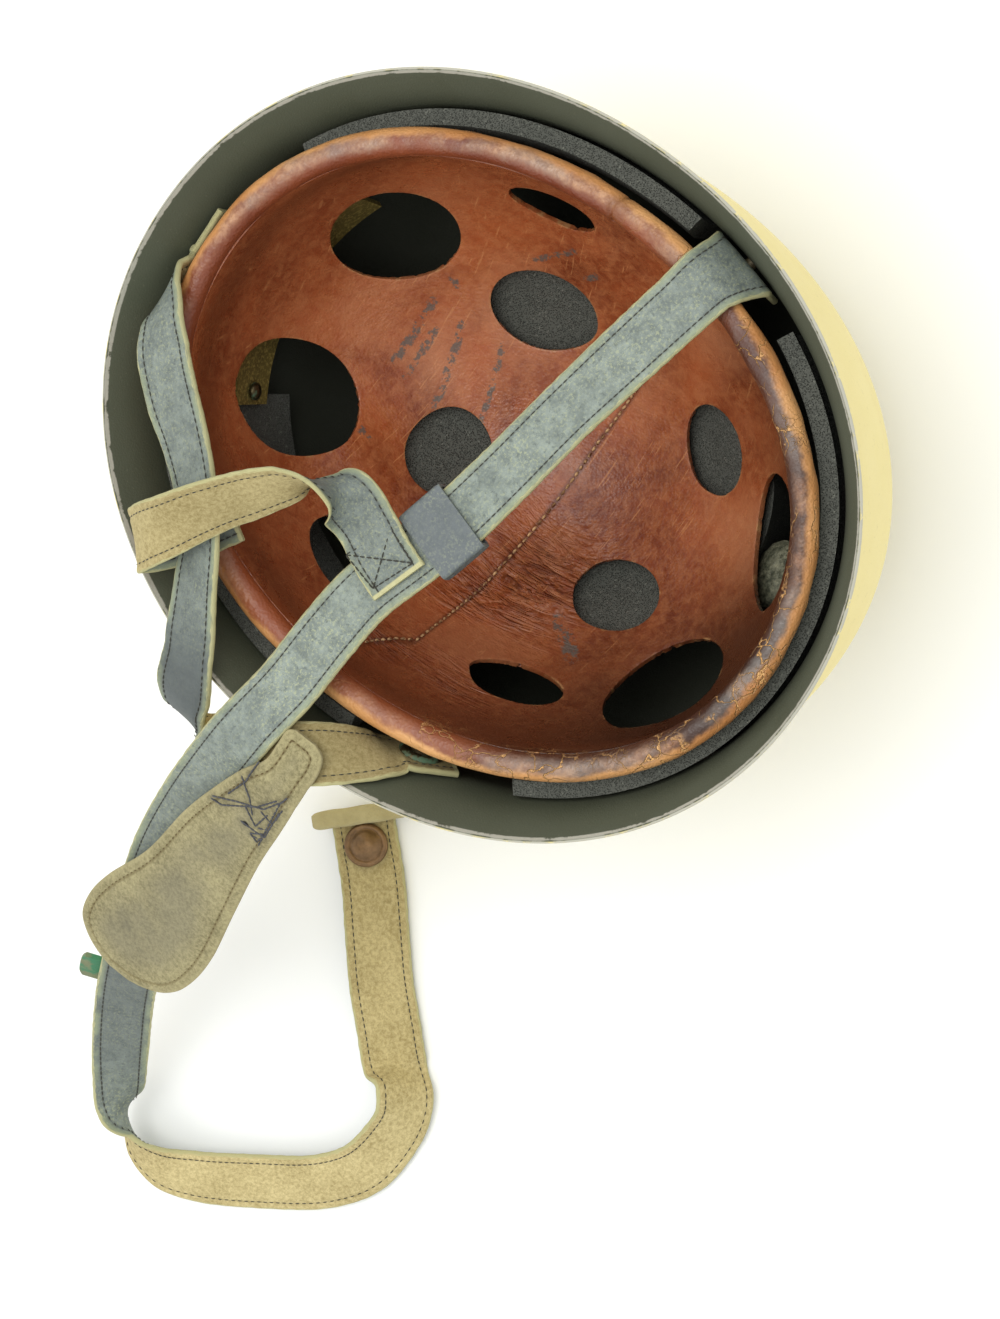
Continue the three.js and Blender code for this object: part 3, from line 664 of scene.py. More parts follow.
store(liner, "brim", np.clip((points[:, 2] - BRIM["low"]) / BRIM["rise"], 0, 1))
store(liner, "scuffs", scuffs)
store(liner, "creases", creases)
store(liner, "way_round", np.stack([np.cos(angle_at) * 0.09, np.sin(angle_at) * 0.09, polar_at * 0.105], -1))
smooth(liner)
wall = liner.modifiers.new("wall", "SOLIDIFY")
wall.thickness, wall.offset = LINER["wall"] * MM, -1
round_edges(liner, "pared_edges", np.radians(50))


def new_group(name, takes, gives):
    """Shader node group with named inputs and outputs; returns it with its two end nodes."""
    group = bpy.data.node_groups.new(name, "ShaderNodeTree")
    for label, kind in takes:
        group.interface.new_socket(name=label, in_out="INPUT", socket_type="NodeSocket" + kind)
    for label, kind in gives:
        group.interface.new_socket(name=label, in_out="OUTPUT", socket_type="NodeSocket" + kind)
    return group, add_node("NodeGroupInput", {}, group).outputs, add_node("NodeGroupOutput", {}, group).inputs


def placed(group, **values):
    """A group put into a material with its own values."""
    return add_node("ShaderNodeGroup", values, node_tree=group).outputs


def stretched(place, scale, rotation=(0, 0, 0), location=(0, 0, 0)):
    """A place moved, turned and scaled, to draw a pattern out along one way."""
    values = {"Vector": place, "Scale": scale, "Rotation": rotation, "Location": location}
    return add_node("ShaderNodeMapping", values).outputs["Vector"]


# Hide: soft cloudy colour, a fine pore grain, and crazing where old leather has broken. The
# liner and its rolled edge share it.
hide, takes, gives = new_group(
    "old_hide", [("Place", "Vector"), ("Cracked", "Float")],
    [(label, "Float") for label in ("Cloud", "Fibre", "Pores", "Cracks", "Scratches")])
place = takes["Place"]
feed(gives["Cloud"], spread(noise(place, 16, 6, 0.6, 0.4), 0.3, 0.7))
feed(gives["Fibre"], spread(noise(place, 260, 8, 0.72, 0.6), 0.35, 0.68))
# Scratches: noise drawn out into streaks, in three directions
marks = None
for turn, seed in ((0.5, 0.0), (1.9, 3.0), (2.7, 7.0)):
    drawn = stretched(place, (58, 900, 80), (0.4, seed * 0.1, turn), (seed, 0, 0))
    scored = spread(noise(drawn, 1.0, 2, 0.4, 0.3), 0.7, 0.76)
    marks = sums("MAXIMUM", marks, scored) if marks else scored
feed(gives["Scratches"], marks)
pore_cells = add_node("ShaderNodeTexVoronoi", {"Vector": place, "Scale": 950.0}).outputs["Distance"]
feed(gives["Pores"], plus(times(pore_cells, 0.5), noise(place, 420, 6, 0.6)))
# Cracks: the borders of wide and fine cells, whose places are bent by a noise
bent = add_node("ShaderNodeTexNoise", {"Vector": place, "Scale": 90.0, "Detail": 5.0}).outputs["Color"]
shift = add_node("ShaderNodeVectorMath", {0: bent, 3: 0.018}, operation="SCALE").outputs["Vector"]
moved = add_node("ShaderNodeVectorMath", {0: place, 1: shift}, operation="ADD").outputs["Vector"]
crazed = None
for scale, width, strength, patches, start, end in (
        (95, 0.04, 1.0, 34, 0.44, 0.58), (260, 0.05, 0.55, 55, 0.52, 0.64)):
    cells = add_node("ShaderNodeTexVoronoi", {"Vector": moved, "Scale": scale}, feature="DISTANCE_TO_EDGE")
    line = spread(cells.outputs["Distance"], 0.0, width, strength, 0.0)
    here = times(takes["Cracked"], spread(noise(place, patches, 4), start, end))
    crazed = sums("MAXIMUM", crazed, times(line, here)) if crazed else times(line, here)
feed(gives["Cracks"], crazed)

liner_finish, shader = new_material("liner_hide")
spot = place_of(shader)
brim, height = field(shader, "brim"), parts_of(spot)
towards_front = spread(height["Y"], 0.0, -0.09)
leather = placed(hide, Place=spot, Cracked=times(towards_front, spread(brim, 0.45, 0.95)))
tone = tint(leather["Cloud"], paint(112, 50, 27), paint(180, 95, 54))
tone = over(tone, paint(204, 132, 84), leather["Fibre"], 0.46)
tone = over(tone, paint(222, 154, 100), leather["Scratches"], 0.45)
# Painted sheen: pale clouds low in the bowl. Painted shade: darker towards the brim. Darkest at the forehead
painted_sheen = times(spread(noise(spot, 13, 5, 0.6), 0.46, 0.66), spread(height["Z"], 0.115, 0.075))
tone = over(tone, paint(214, 148, 106), painted_sheen, 0.46)
# Painted shade: darker towards the brim, more so towards the forehead
rising = spread(plus(height["Z"], spread(leather["Cloud"], 0.0, 1.0, -0.01, 0.01)), 0.08, 0.12)
tone = over(tone, paint(92, 44, 26), times(rising, spread(height["Y"], 0.09, -0.02, 0.25, 0.52)))
tone = over(tone, paint(54, 35, 24), times(towards_front, spread(height["Z"], 0.045, 0.088)), 0.9)
# Painted shade: a darker band just below the rolled edge
tone = over(tone, paint(90, 48, 28), times(spread(brim, 0.1, 0.6), spread(brim, 1.0, 0.7)), 0.5)
# Creases that run down the bowl where it is pushed in, with painted shade in their lines and a painted
# highlight between them
folds = noise(stretched(field(shader, "way_round", "Vector"), (44, 44, 300)), 1.0, 3, 0.5, 1.8)
crease_share = times(field(shader, "creases"), spread(noise(spot, 45, 4), 0.34, 0.56, 0.25, 1.0))
crease = times(spread(folds, 0.52, 0.62), crease_share)
tone = over(tone, paint(92, 46, 28), crease, 0.65)
tone = over(tone, paint(206, 134, 88), times(spread(folds, 0.44, 0.36), crease_share), 0.5)
# Grey scuffs, the dark groove under the seam, the frayed rims of the holes and the cracks
smear = times(field(shader, "scuffs"), spread(noise(spot, 300, 6, 0.75), 0.44, 0.58))
tone = over(tone, paint(92, 94, 88), spread(smear, 0.16, 0.46, 0.0, 0.8))
tone = over(tone, paint(70, 34, 20), spread(field(shader, "seam_gap"), 0.0004, 0.0017, 1.0, 0.0), 0.55)
rim = spread(field(shader, "off_hole"), 0.0, 0.0009, 1.0, 0.0)
tone = over(tone, paint(196, 150, 100), times(rim, spread(noise(spot, 210, 4), 0.5, 0.66)), 0.6)
tone = over(tone, paint(206, 152, 96), leather["Cracks"])
polish = plus(spread(noise(spot, 90, 5), 0.3, 0.7, 0.24, 0.4), times(crease, 0.2))
raised = relief(times(folds, crease_share), 0.0058, relief(leather["Pores"], 0.00024))
coat(shader, tone, polish, relief(leather["Cracks"], -0.0006, raised))
dress(liner, liner_finish, "liner")


# Seam: waxed tan thread in short stitches, sewn by hand along the join of the liner's halves.
# Each stitch lies on the hide and goes in at both its ends.
SEWN = dict(pitch=2.7, stitch=2.0, thread=0.46, stand=0.15)


def run_of(points):
    """Length along a line at each of its points."""
    return np.append(0, np.cumsum(np.linalg.norm(np.diff(points, axis=0), axis=1)))


def read_at(lengths, run, values):
    """Values along a line, read at other lengths of it."""
    return np.stack([np.interp(lengths, run, column) for column in values.T], -1)


share = SEAM / (LINER["half_width"], LINER["half_length"])
seam_angle = np.arctan2(share[:, 1], share[:, 0])
seam_polar = np.arcsin(np.minimum(0.999, np.linalg.norm(share, axis=1)))
seam = drawn_in(liner_point(seam_angle, seam_polar), seam_polar, np.full(len(SEAM), FAR_FROM_HOLES))
seam_run = run_of(seam)
seam_way = unit(np.gradient(seam, axis=0))
seam_up = unit((0, 0, LINER["centre"] + 40) - seam)
sewn_at = np.arange(1, seam_run[-1] - 1, SEWN["pitch"])
seam, seam_way, seam_up = (read_at(sewn_at, seam_run, values) for values in (seam, seam_way, seam_up))


def stitches(name, runs, thick):
    """Sewing thread: each stitch is a five-sided thread that rises from the leather in a low
    arch, half a sine wave, and sinks back at its ends."""
    middle, along, up, long_ = (np.concatenate(parts) for parts in zip(*runs))
    across = unit(np.cross(along, up))
    rings, round_ = 5, 5
    t = np.linspace(-0.5, 0.5, rings)
    turn = full_turn(round_)
    thin = thick * np.array([0.55, 1, 1.1, 1, 0.55])
    height = 0.3 * np.cos(np.pi * t) - 0.1
    middle, along, up, across = (vectors[:, None, None] for vectors in (middle, along, up, across))
    rise = height[:, None] + thin[:, None] * np.sin(turn)
    aside = thin[:, None] * np.cos(turn)
    ring = (middle + along * (t[:, None, None] * long_[:, None, None, None])
            + up * rise[..., None] + across * aside[..., None])
    base = np.arange(len(middle))[:, None] * rings * round_
    i, j = np.meshgrid(np.arange(rings - 1), np.arange(round_), indexing="ij")
    first, second = i * round_ + j, i * round_ + (j + 1) % round_
    quad = np.stack([first, second, second + round_, first + round_], -1).reshape(-1, 4)
    sides = (base[..., None] + quad[None]).reshape(-1, 4).tolist()
    end = np.arange(round_)
    caps = (base + end[::-1]).tolist() + (base + (rings - 1) * round_ + end).tolist()
    thread = mesh_object(name, ring.reshape(-1, 3) * MM, sides + caps)
    smooth(thread)
    return thread


seam_up = unit(seam_up)
seam_thread = stitches("liner_seam_thread", [
    (seam + seam_up * SEWN["stand"], unit(seam_way), seam_up,
     np.full(len(seam), SEWN["stitch"]))], SEWN["thread"])
tan_thread, shader = new_material("tan_thread")
waxed = spread(noise(place_of(shader), 500, 3), 0.35, 0.65)
coat(shader, tint(waxed, paint(112, 70, 40), paint(232, 190, 136)), 0.7)
dress(seam_thread, tan_thread)


# Rolled edge: the liner's brim, a strip of brown hide sewn round a cord, butted at the wearer's right. It is
# worn tan on top with a painted grey highlight along it, orange outside, and dark and cracked at the
# forehead.
ROLL = dict(half_width=94.4, half_length=118.5, radius=4.75, z=150)
JOINT = dict(azimuth=3.7, depth=1.1, lean=0.02, width=0.006, stain=0.03)
angle, around = np.meshgrid(full_turn(900), full_turn(44), indexing="ij")
bumps = wander(angle * 34, 12, 0.6, 2) * wander(around * 2, 13, 0.5, 1)
uneven = 0.22 * wander(angle * 6, 11, 0.8, 3) + 0.12 * bumps
from_joint = angle - oval_angle(JOINT["azimuth"])
joint = -JOINT["depth"] * np.exp(-((from_joint - JOINT["lean"] * np.sin(around)) / JOINT["width"]) ** 2)
radius = ROLL["radius"] + uneven + joint
out = radius * np.cos(around)
rows = oval(angle, ROLL["half_width"] + out, ROLL["half_length"] + out, ROLL["z"] + radius * np.sin(around))
roll = made("rolled_edge", rows[::-1], wrapped=True)
store(roll, "outward", np.cos(around)[::-1].ravel())
store(roll, "at_joint", np.exp(-(from_joint / JOINT["stain"]) ** 2)[::-1].ravel())
roll_finish, shader = new_material("roll_hide")
spot = place_of(shader)
parts = parts_of(spot)
front = spread(parts["Y"], 0.03, -0.1)
left = times(spread(parts["X"], -0.02, -0.09), spread(parts["Y"], -0.075, -0.03))
leather = placed(hide, Place=spot, Cracked=front)
uneven_out = plus(plus(field(shader, "outward"), times(left, 0.25)),
                  spread(noise(spot, 60, 5, 0.65), 0.2, 0.8, -0.36, 0.36))
brown = tint(leather["Cloud"], paint(106, 52, 31), paint(146, 78, 48))
brown = over(brown, tint(leather["Cloud"], paint(48, 36, 29), paint(78, 54, 40)), front, 0.9)
tanned = tint(leather["Fibre"], paint(144, 98, 68), paint(194, 146, 108))
orange = tint(leather["Cloud"], paint(188, 124, 70), paint(224, 168, 108))
cloudy = plus(noise(spot, 24, 7, 0.66), times(front, -0.15))
tone = over(brown, tanned, times(spread(uneven_out, -0.8, 0.1), spread(cloudy, 0.36, 0.56)))
tone = over(tone, paint(152, 80, 44), left, 0.55)
# Painted highlight: a grey band along the top of the roll, which is also glossier there
grey = times(spread(uneven_out, -0.75, -0.15), spread(noise(spot, 22, 6, 0.6), 0.42, 0.64))
grey = times(grey, spread(left, 0.0, 1.0, 1.0, 0.3))
tone = over(tone, paint(136, 130, 122), grey, 0.5)
tone = over(tone, orange, spread(uneven_out, 0.24, 0.78, 0.0, 0.92))
tone = over(tone, paint(222, 168, 104), leather["Cracks"])
tone = over(tone, paint(120, 74, 40), field(shader, "at_joint"), 0.5)
coat(shader, tone, spread(grey, 0.0, 1.0, 0.38, 0.26),
     relief(leather["Cracks"], -0.0007, relief(leather["Pores"], 0.0003)))
dress(roll, roll_finish, "liner_roll")


# Main strap: one long strip of grey-blue hide with raw cream edges, sewn near each edge. It is
# bolted at the wearer's right, runs through the keeper to the chin and ends loose on the table.
STRAP = dict(thickness=2.6, stand_off=4.3, sewn=3.2, pitch=2.5, stitch=2.1, thread=0.2)
SEATS = dict(right=seat(-19), left=seat(-161), rear=seat(90))

# Each row is a section of the leather: the middle, the compass direction and the rise of its
# first edge in degrees, and the width
MAIN_STRAP = np.array([
    (100, -35, 150, 76, 3, 25), (94, -33, 157, 78, 4, 23), (83, -31, 160.5, 78, 3, 22),
    (57, -25, 162, 80, -3, 22), (29, -19, 164, 85, -10, 22), (2, -14, 165.5, 86, -8, 22),
    (-25, -8, 167, 84, -3, 22), (-40, -3, 167.5, 88, -3, 22), (-58, 3, 167.5, 95, -4, 22),
    (-77, 6, 167, 96, 0, 22), (-100, 8, 167.5, 99, 0, 22), (-121, 12, 167, 100, -3, 22),
    (-139, 17, 155.8, 100, -6, 22), (-168, 25, 132, 105, -6, 22), (-194, 29, 113, 106, -6, 22),
    (-221, 29, 94, 107, -5, 22), (-245, 27, 76, 112, 0, 22), (-266, 27, 56, 122, 10, 21.5),
    (-286, 23.5, 40.5, 124, 22, 21), (-301, 20, 29, 118, 42, 20), (-311, 17, 21.5, 90, 68, 20),
    (-318, 12.5, 15.5, -8, 67, 21), (-324, 3.5, 12, 3, 48, 22), (-325, -7, 9.5, 13, 34, 22.5),
    (-320, -19, 7.5, 19, 26, 23), (-306, -40, 6.5, 25, 23, 23), (-291, -59, 7, 30, 25, 23),
    (-277, -69, 8, 48, 30, 23), (-261, -72, 9.5, 62, 40, 23), (-249, -71, 11, 80, 47, 23),
    (-241, -66, 11.6, 101, 42, 23), (-238, -58, 8, 119, 22, 23.5), (-230, -49, 6.5, 125, 21, 23.5),
    (-217, -36, 6.5, 129, 21, 23.5), (-203, -24, 6, 130, 19, 23.5), (-189, -12, 5.2, 131, 15, 23.5),
    (-179.5, -2.3, 4.6, 132, 13, 23.5), (-171.5, 5.5, 4.4, 132, 13, 23.5)])


def wall_rows(place, out, heading, width, reach):
    """Sections of a strap end held flat to the shell's wall, running at a slope to the level."""
    level, climb = axes_of(out)
    slope = np.radians(heading)
    along = level * np.cos(slope) + climb * np.sin(slope)
    edge = level * np.sin(slope) - climb * np.cos(slope)
    aim = np.degrees(np.arctan2(edge[1], edge[0]))
    rise = np.degrees(np.arcsin(edge[2]))
    middle = place - out * STRAP["stand_off"]
    return np.array([(*(middle + along * far), aim, rise, width) for far in reach])


def curve_through(points, per):
    """Centripetal Catmull-Rom curve: between two points a cubic whose end slopes weigh the
    neighbouring steps by the square root of their length. Also gives its tangent."""
    first, last = 2 * points[0] - points[1], 2 * points[-1] - points[-2]
    ring = np.vstack([first, points, last])
    step = np.sqrt(np.linalg.norm(np.diff(ring, axis=0), axis=1))
    before, here, after = step[:-2], step[1:-1], step[2:]
    here = np.where(here < 1e-4, 1.0, here)[:, None]
    before = np.where(before < 1e-4, here[:, 0], before)[:, None]
    after = np.where(after < 1e-4, here[:, 0], after)[:, None]
    p0, p1, p2, p3 = ring[:-3], ring[1:-2], ring[2:-1], ring[3:]
    m1 = ((p1 - p0) / before - (p2 - p0) / (before + here) + (p2 - p1) / here) * here
    m2 = ((p2 - p1) / here - (p3 - p1) / (here + after) + (p3 - p2) / after) * here
    t = np.linspace(0, 1, per, endpoint=False)[None, :, None]
    a, b = -3 * p1 + 3 * p2 - 2 * m1 - m2, 2 * p1 - 2 * p2 + m1 + m2
    p1, m1, a, b = (v[:, None] for v in (p1, m1, a, b))
    places = (p1 + m1 * t + a * t ** 2 + b * t ** 3).reshape(-1, 3)
    slopes = (m1 + 2 * a * t + 3 * b * t ** 2).reshape(-1, 3)
    end_slope = (m1 + 2 * a + 3 * b)[-1]
    return np.vstack([places, points[-1]]), unit(np.vstack([slopes, end_slope]))


def ribbon(rows, per=10):
    """Frames of a strap through its sections: middle, direction, first edge, face and width."""
    rows = np.asarray(rows, float)
    middle, along = curve_through(rows[:, :3], per)
    aim, rise = np.radians(rows[:, 3]), np.radians(rows[:, 4])
    edges = np.stack([np.cos(rise) * np.cos(aim), np.cos(rise) * np.sin(aim), np.sin(rise)], -1)
    edge, _ = curve_through(edges, per)
    edge = unit(edge - (edge * along).sum(-1, keepdims=True) * along)
    face = np.cross(edge, along)
    width = np.interp(np.arange(len(middle)) / per, np.arange(len(rows)), rows[:, 5])
    return dict(middle=middle, along=along, edge=edge, face=face, width=width, length=run_of(middle))


def strap_skin(name, frames, thickness, shades, grain, seed):
    """Strap body: a rounded rectangle carried along the frames. Both faces dip along the two
    stitch lines, and the raw edges wander a little. Grain is the side, 1 or -1, of the hide.
    Shades are pairs of a share of the length and how much darker the leather is there, 0 to 1: dirt and
    painted shade together."""
    half, tip, easing = thickness / 2, thickness * 0.4, 0.1
    cross = np.linspace(1, -1, 23)
    bend = np.linspace(np.pi / 2, -np.pi / 2, 9)[1:-1]
    far = frames["length"][:, None]
    wide = frames["width"][:, None] / 2
    fray = 0.09 * wander(far[:, 0] * 0.5, seed, 0.4, 2.6)[:, None]
    flat = wide - tip
    dip = 0.28 * np.exp(-((np.abs(cross) * flat - (wide - STRAP["sewn"])) / 0.8) ** 2)
    high = half - dip + 0.12 * (1 - cross ** 2) - easing
    reach, lift = flat + tip * np.cos(bend), (half - easing) * np.sin(bend)
    top = np.stack([cross * flat, high], -1)
    right = np.stack([-(reach + fray), lift + 0 * flat], -1)
    left = np.stack([reach - fray, -lift + 0 * flat], -1)
    profile = np.concatenate([top, right, -top, left], 1)
    side = np.concatenate([np.ones(len(cross)), np.sin(bend), -np.ones(len(cross)), -np.sin(bend)])
    strap = made(name, frames["middle"][:, None] + profile[..., :1] * frames["edge"][:, None]
                 + profile[..., 1:] * frames["face"][:, None], 60)
    across = profile[..., 0]
    lay = np.stack(np.broadcast_arrays(far, across, side * grain * 40), -1).reshape(-1, 3)
    store(strap, "lay", np.vstack([lay, lay[0], lay[-1]]) * MM)
    for attribute, values in (
            ("hide_side", side * grain), ("from_edge", (wide - np.abs(across)) * MM),
            ("from_end", np.minimum(far, far[-1] - far) * MM),
            ("soiled_and_shaded", np.interp(far / far[-1], *np.transpose(shades)))):
        store(strap, attribute, np.append(np.broadcast_to(values, across.shape), [0, 0]))
    return strap


def stitch_run(frames, edge, side, thickness, start, grain):
    """Places, directions and outward directions of stitches along one edge of a strap, 1 or -1.
    They sink deeper into the nap than into the grain."""
    sink = 0.26 if side == grain else 0.4
    run, pitch = frames["length"], STRAP["pitch"]
    spots = np.arange(start + pitch, run[-1] - pitch / 2, pitch)
    middle, along, first_edge, face = (
        read_at(spots, run, frames[key]) for key in ("middle", "along", "edge", "face"))
    offset = edge * (np.interp(spots, run, frames["width"]) / 2 - STRAP["sewn"])
    up = unit(face) * side
    middle = middle + unit(first_edge) * offset[:, None] + up * (thickness / 2 - sink)
    return middle, unit(along), up, np.full(len(spots), STRAP["stitch"])


def sewn_strap(name, rows, shades, seed, thickness=STRAP["thickness"], grain=1, start=0):
    """Strap through its sections, which stands for the node of its name, with stitches near both
    edges of both faces. Gives its frames."""
    frames = ribbon(rows)
    strap = strap_skin(name + "_hide", frames, thickness, shades, grain, seed)
    dress(strap, strap_finish, name)
    runs = [stitch_run(frames, edge, side, thickness, start, grain) for edge in (1, -1) for side in (1, -1)]
    dress(stitches(name + "_thread", runs, STRAP["thread"]), thread_finish)
    return frames


# Grain and nap: the two faces of the harness leather, which its patches share. The grain is
# pebbled, with pale and dark specks; the nap is brushed fibre with rubbed clouds.
FACE_TAKES = [("Place", "Vector"), ("Dark", "Color"), ("Pale", "Color")]
FACE_GIVES = [("Colour", "Color"), ("Height", "Float")]
harness_grain, takes, gives = new_group("harness_grain", FACE_TAKES, FACE_GIVES)
place = takes["Place"]
clouded = tint(spread(noise(place, 170, 8, 0.78), 0.3, 0.7), takes["Dark"], takes["Pale"])
pebbles = noise(place, 900, 6, 0.72)
yellow = times(spread(pebbles, 0.5, 0.6), spread(noise(place, 60, 3), 0.35, 0.6, 0.35, 1.0))
specked = over(clouded, paint(172, 176, 138), yellow, 0.7)
darks = spread(noise(place, 520, 7, 0.75), 0.46, 0.36, 0.0, 0.7)
feed(gives["Colour"], over(specked, paint(88, 96, 92), darks))
feed(gives["Height"], pebbles)

suede_nap, takes, gives = new_group("suede_nap", FACE_TAKES, FACE_GIVES)
place = takes["Place"]
fibres = noise(place, 650, 8, 0.8, 0.3)
rubs = spread(noise(place, 55, 5, 0.6), 0.3, 0.7)
brushed = plus(times(spread(fibres, 0.34, 0.64), 0.7), times(rubs, 0.3))
feed(gives["Colour"], tint(brushed, takes["Dark"], takes["Pale"]))
feed(gives["Height"], fibres)

# Strap hide: grey-blue grain on one face, suede on the other, both darker where dirty and where shade is
# painted along the strap, with a dark line pressed in by the stitches and raw cream leather at the edges and
# ends
strap_finish, shader = new_material("strap_hide")
lay = field(shader, "lay", "Vector")
grain = placed(harness_grain, Place=lay, Dark=paint(102, 110, 104), Pale=paint(148, 157, 146))
nap = placed(suede_nap, Place=lay, Dark=paint(150, 132, 84), Pale=paint(214, 196, 142))
soiled_and_shaded, side, from_edge = (field(shader, name) for name in ("soiled_and_shaded", "hide_side", "from_edge"))
margin = times(spread(from_edge, 0.0012, 0.0034, 0.6, 0.0), spread(noise(lay, 90, 4), 0.35, 0.6))
# Dirt and painted shade: the darkening along the strap, set by its table of shades
face = over(over(grain["Colour"], paint(72, 77, 77), soiled_and_shaded, 0.88), paint(150, 158, 122), margin)
back = over(nap["Colour"], paint(96, 84, 48), soiled_and_shaded, 0.5)
pressed = times(spread(from_edge, 0.0027, 0.0031), spread(from_edge, 0.0037, 0.0033))
tone = tint(spread(side, -0.3, 0.3), back, face)
tone = over(tone, paint(72, 76, 70), times(pressed, spread(side, -0.3, 0.3, 0.16, 0.5)))
ragged = plus(from_edge, spread(noise(lay, 420, 4), 0.3, 0.7, -0.0004, 0.0004))
cut = sums("MAXIMUM", spread(ragged, 0.0004, 0.001, 1.0, 0.0),
           spread(field(shader, "from_end"), 0.0012, 0.0018, 1.0, 0.0))
tone = over(tone, tint(noise(lay, 700, 4), paint(166, 160, 108), paint(212, 206, 154)), cut, 0.9)
coat(shader, tone, spread(side, -0.3, 0.5, 0.95, 0.58), relief(plus(grain["Height"], nap["Height"]), 0.00022))

thread_finish, shader = new_material("dark_thread")
coat(shader, paint(60, 58, 50), 0.8, relief(noise(place_of(shader), 3000, 2), 0.0001))

BARE_END = 14
main = sewn_strap(
    "main_strap", np.vstack([wall_rows(*SEATS["right"], 90, 28, (-9, -3, 3, 9)), MAIN_STRAP]), (
        (0, 0.5), (0.08, 0.1), (0.3, 0.0), (0.42, 0.25), (0.5, 0.5), (0.55, 0.75), (0.62, 0.6), (0.68, 0.0),
        (0.84, 0.1), (0.9, 0.35), (1, 0.5)), 21, start=BARE_END)


# Nape strap: the other leg of the harness, bolted at the nape, folded under the main strap and
# bolted again at the wearer's left.
NAPE_STRAP = np.array([
    (-14, 123.4, 140.5, -100, -76, 21), (-18, 124.2, 148, -170, -70, 20), (-22, 122.2, 155.5, 130, -60, 20),
    (-27, 117, 162.5, 124, -32, 21), (-35, 109, 166, 132, -14, 22), (-45, 97, 168, 135, -14, 22),
    (-53, 85, 170, 135, -21, 22), (-64, 72, 171, 132, -28, 22), (-79, 60, 170, 133, -33, 22),
    (-92, 54, 168, 128, -28, 22), (-104, 48, 167, 125, -22, 22), (-116, 43, 164, 125, -22, 22),
    (-127, 41, 157, 128, -22, 22), (-135, 39, 150, 117, -37, 21.5), (-138, 34, 143.5, 85, -50, 19),
    (-137, 24, 142, 38, -20, 20), (-135, 16, 145.5, 37, 8, 22), (-132, 9, 154.3, 38, 24, 22),
    (-126.5, 2, 160.8, 38, 15, 22), (-119, -6, 162.9, 38, 0, 22), (-113, -14, 161.8, 34, -18, 22),
    (-108.5, -21, 155.5, 38, -35, 21), (-105, -26.5, 147.5, 60, -50, 21)])
nape_rows = np.vstack([
    wall_rows(*SEATS["rear"], 0, 22, (-11, -4, 4, 10)), NAPE_STRAP,
    wall_rows(*SEATS["left"], -40, 22, (-9, -3, 3, 11))])
sewn_strap("nape_strap", nape_rows, (
    (0, 0.7), (0.12, 0.3), (0.36, 0.3), (0.48, 0.45), (0.56, 1.0), (0.7, 1.0), (1, 0.8)), 22, start=BARE_END)


# Loop strap: a thinner strip of the same hide, sewn to the main strap at the keeper. It turns
# over on itself round the nape strap, suede side up.
LOOP_THICKNESS = 2.0
LOOP_STRAP = np.array([
    (-47, -6, 171, 157, 0, 22), (-43, 5, 171, 152, 0, 22), (-38, 14, 172.4, 145, 0, 22),
    (-34.5, 22, 176, 140, 30, 22), (-33.5, 28, 180, 130, 70, 22), (-35.5, 36, 183, 60, 80, 22),
    (-41, 42, 184, 35, 56, 22), (-53, 52, 184, 22, 38, 22), (-65, 61, 184.5, 28, 33, 22),
    (-77, 69, 182, 32, 28, 22), (-87, 76, 176, 38, 15, 22), (-92, 79, 169, 40, 10, 22),
    (-87, 74, 162.5, 42, 5, 22), (-77, 67, 160, 42, 5, 22), (-66, 60, 160, 42, 5, 22)])
sewn_strap("loop_strap", LOOP_STRAP, (
    (0, 0.35), (0.3, 0.45), (0.5, 0.7), (0.8, 0.5), (1, 0.6)), 23, LOOP_THICKNESS, grain=-1)


# Junction: a box with a cross in it, sewn through both straps where the loop begins, in the
# harness's dark thread.
JUNCTION = np.array([
    (-50.5, 14.5, -33.9, 6.5), (-33.9, 6.5, -38.6, -6.4), (-38.6, -6.4, -54.0, 0.2),
    (-54.0, 0.2, -50.5, 14.5), (-50.5, 14.5, -38.6, -6.4), (-33.9, 6.5, -54.0, 0.2)])


def sewn_lines(lines, height, pitch, long_):
    """Stitches along straight lines drawn in plan; height gives the surface over each place."""
    up = (0, 0, 1)
    runs = []
    for x0, y0, x1, y1 in lines:
        share = np.linspace(0, 1, max(2, round(np.hypot(x1 - x0, y1 - y0) / pitch) + 1))
        share = (share[1:] + share[:-1]) / 2
        x, y = x0 + (x1 - x0) * share, y0 + (y1 - y0) * share
        middle = np.stack([x, y, height(x, y)], -1)
        ends = np.array([(x0, y0, height(x0, y0)), (x1, y1, height(x1, y1))], float)
        along = np.broadcast_to(unit(ends[1] - ends[0]), middle.shape)
        runs.append((middle, along, np.broadcast_to(up, middle.shape), np.full(len(x), long_)))
    return runs


JUNCTION_Z = 171.95
box_lines = sewn_lines(JUNCTION, lambda x, y: JUNCTION_Z + 0 * x, 2.5, 2.2)
box_thread = stitches("junction_thread", box_lines, 0.26)
dress(box_thread, thread_finish)


# Keeper: a short sleeve of smooth grey-blue hide, sewn into a ring round the main strap. It
# slides along the strap and keeps a second layer flat.
def nearest(frames, x, y):
    """Frame of a strap nearest to a point seen from above: middle, direction and face."""
    k = np.hypot(frames["middle"][:, 0] - x, frames["middle"][:, 1] - y).argmin()
    return frames["middle"][k], frames["along"][k], frames["face"][k]


def on_strap(spot, side, lift):
    """Place on a strap's face and the directions across it, along it and off it."""
    middle, along, face = spot
    up = face * side
    return middle + up * (STRAP["thickness"] / 2 + lift), np.cross(along, up), along, up


def laid(points, seat_on):
    """Points given across, along and off a strap, taken to their place on it."""
    origin, across, along, up = seat_on
    return origin + points[..., :1] * across + points[..., 1:2] * along + points[..., 2:] * up


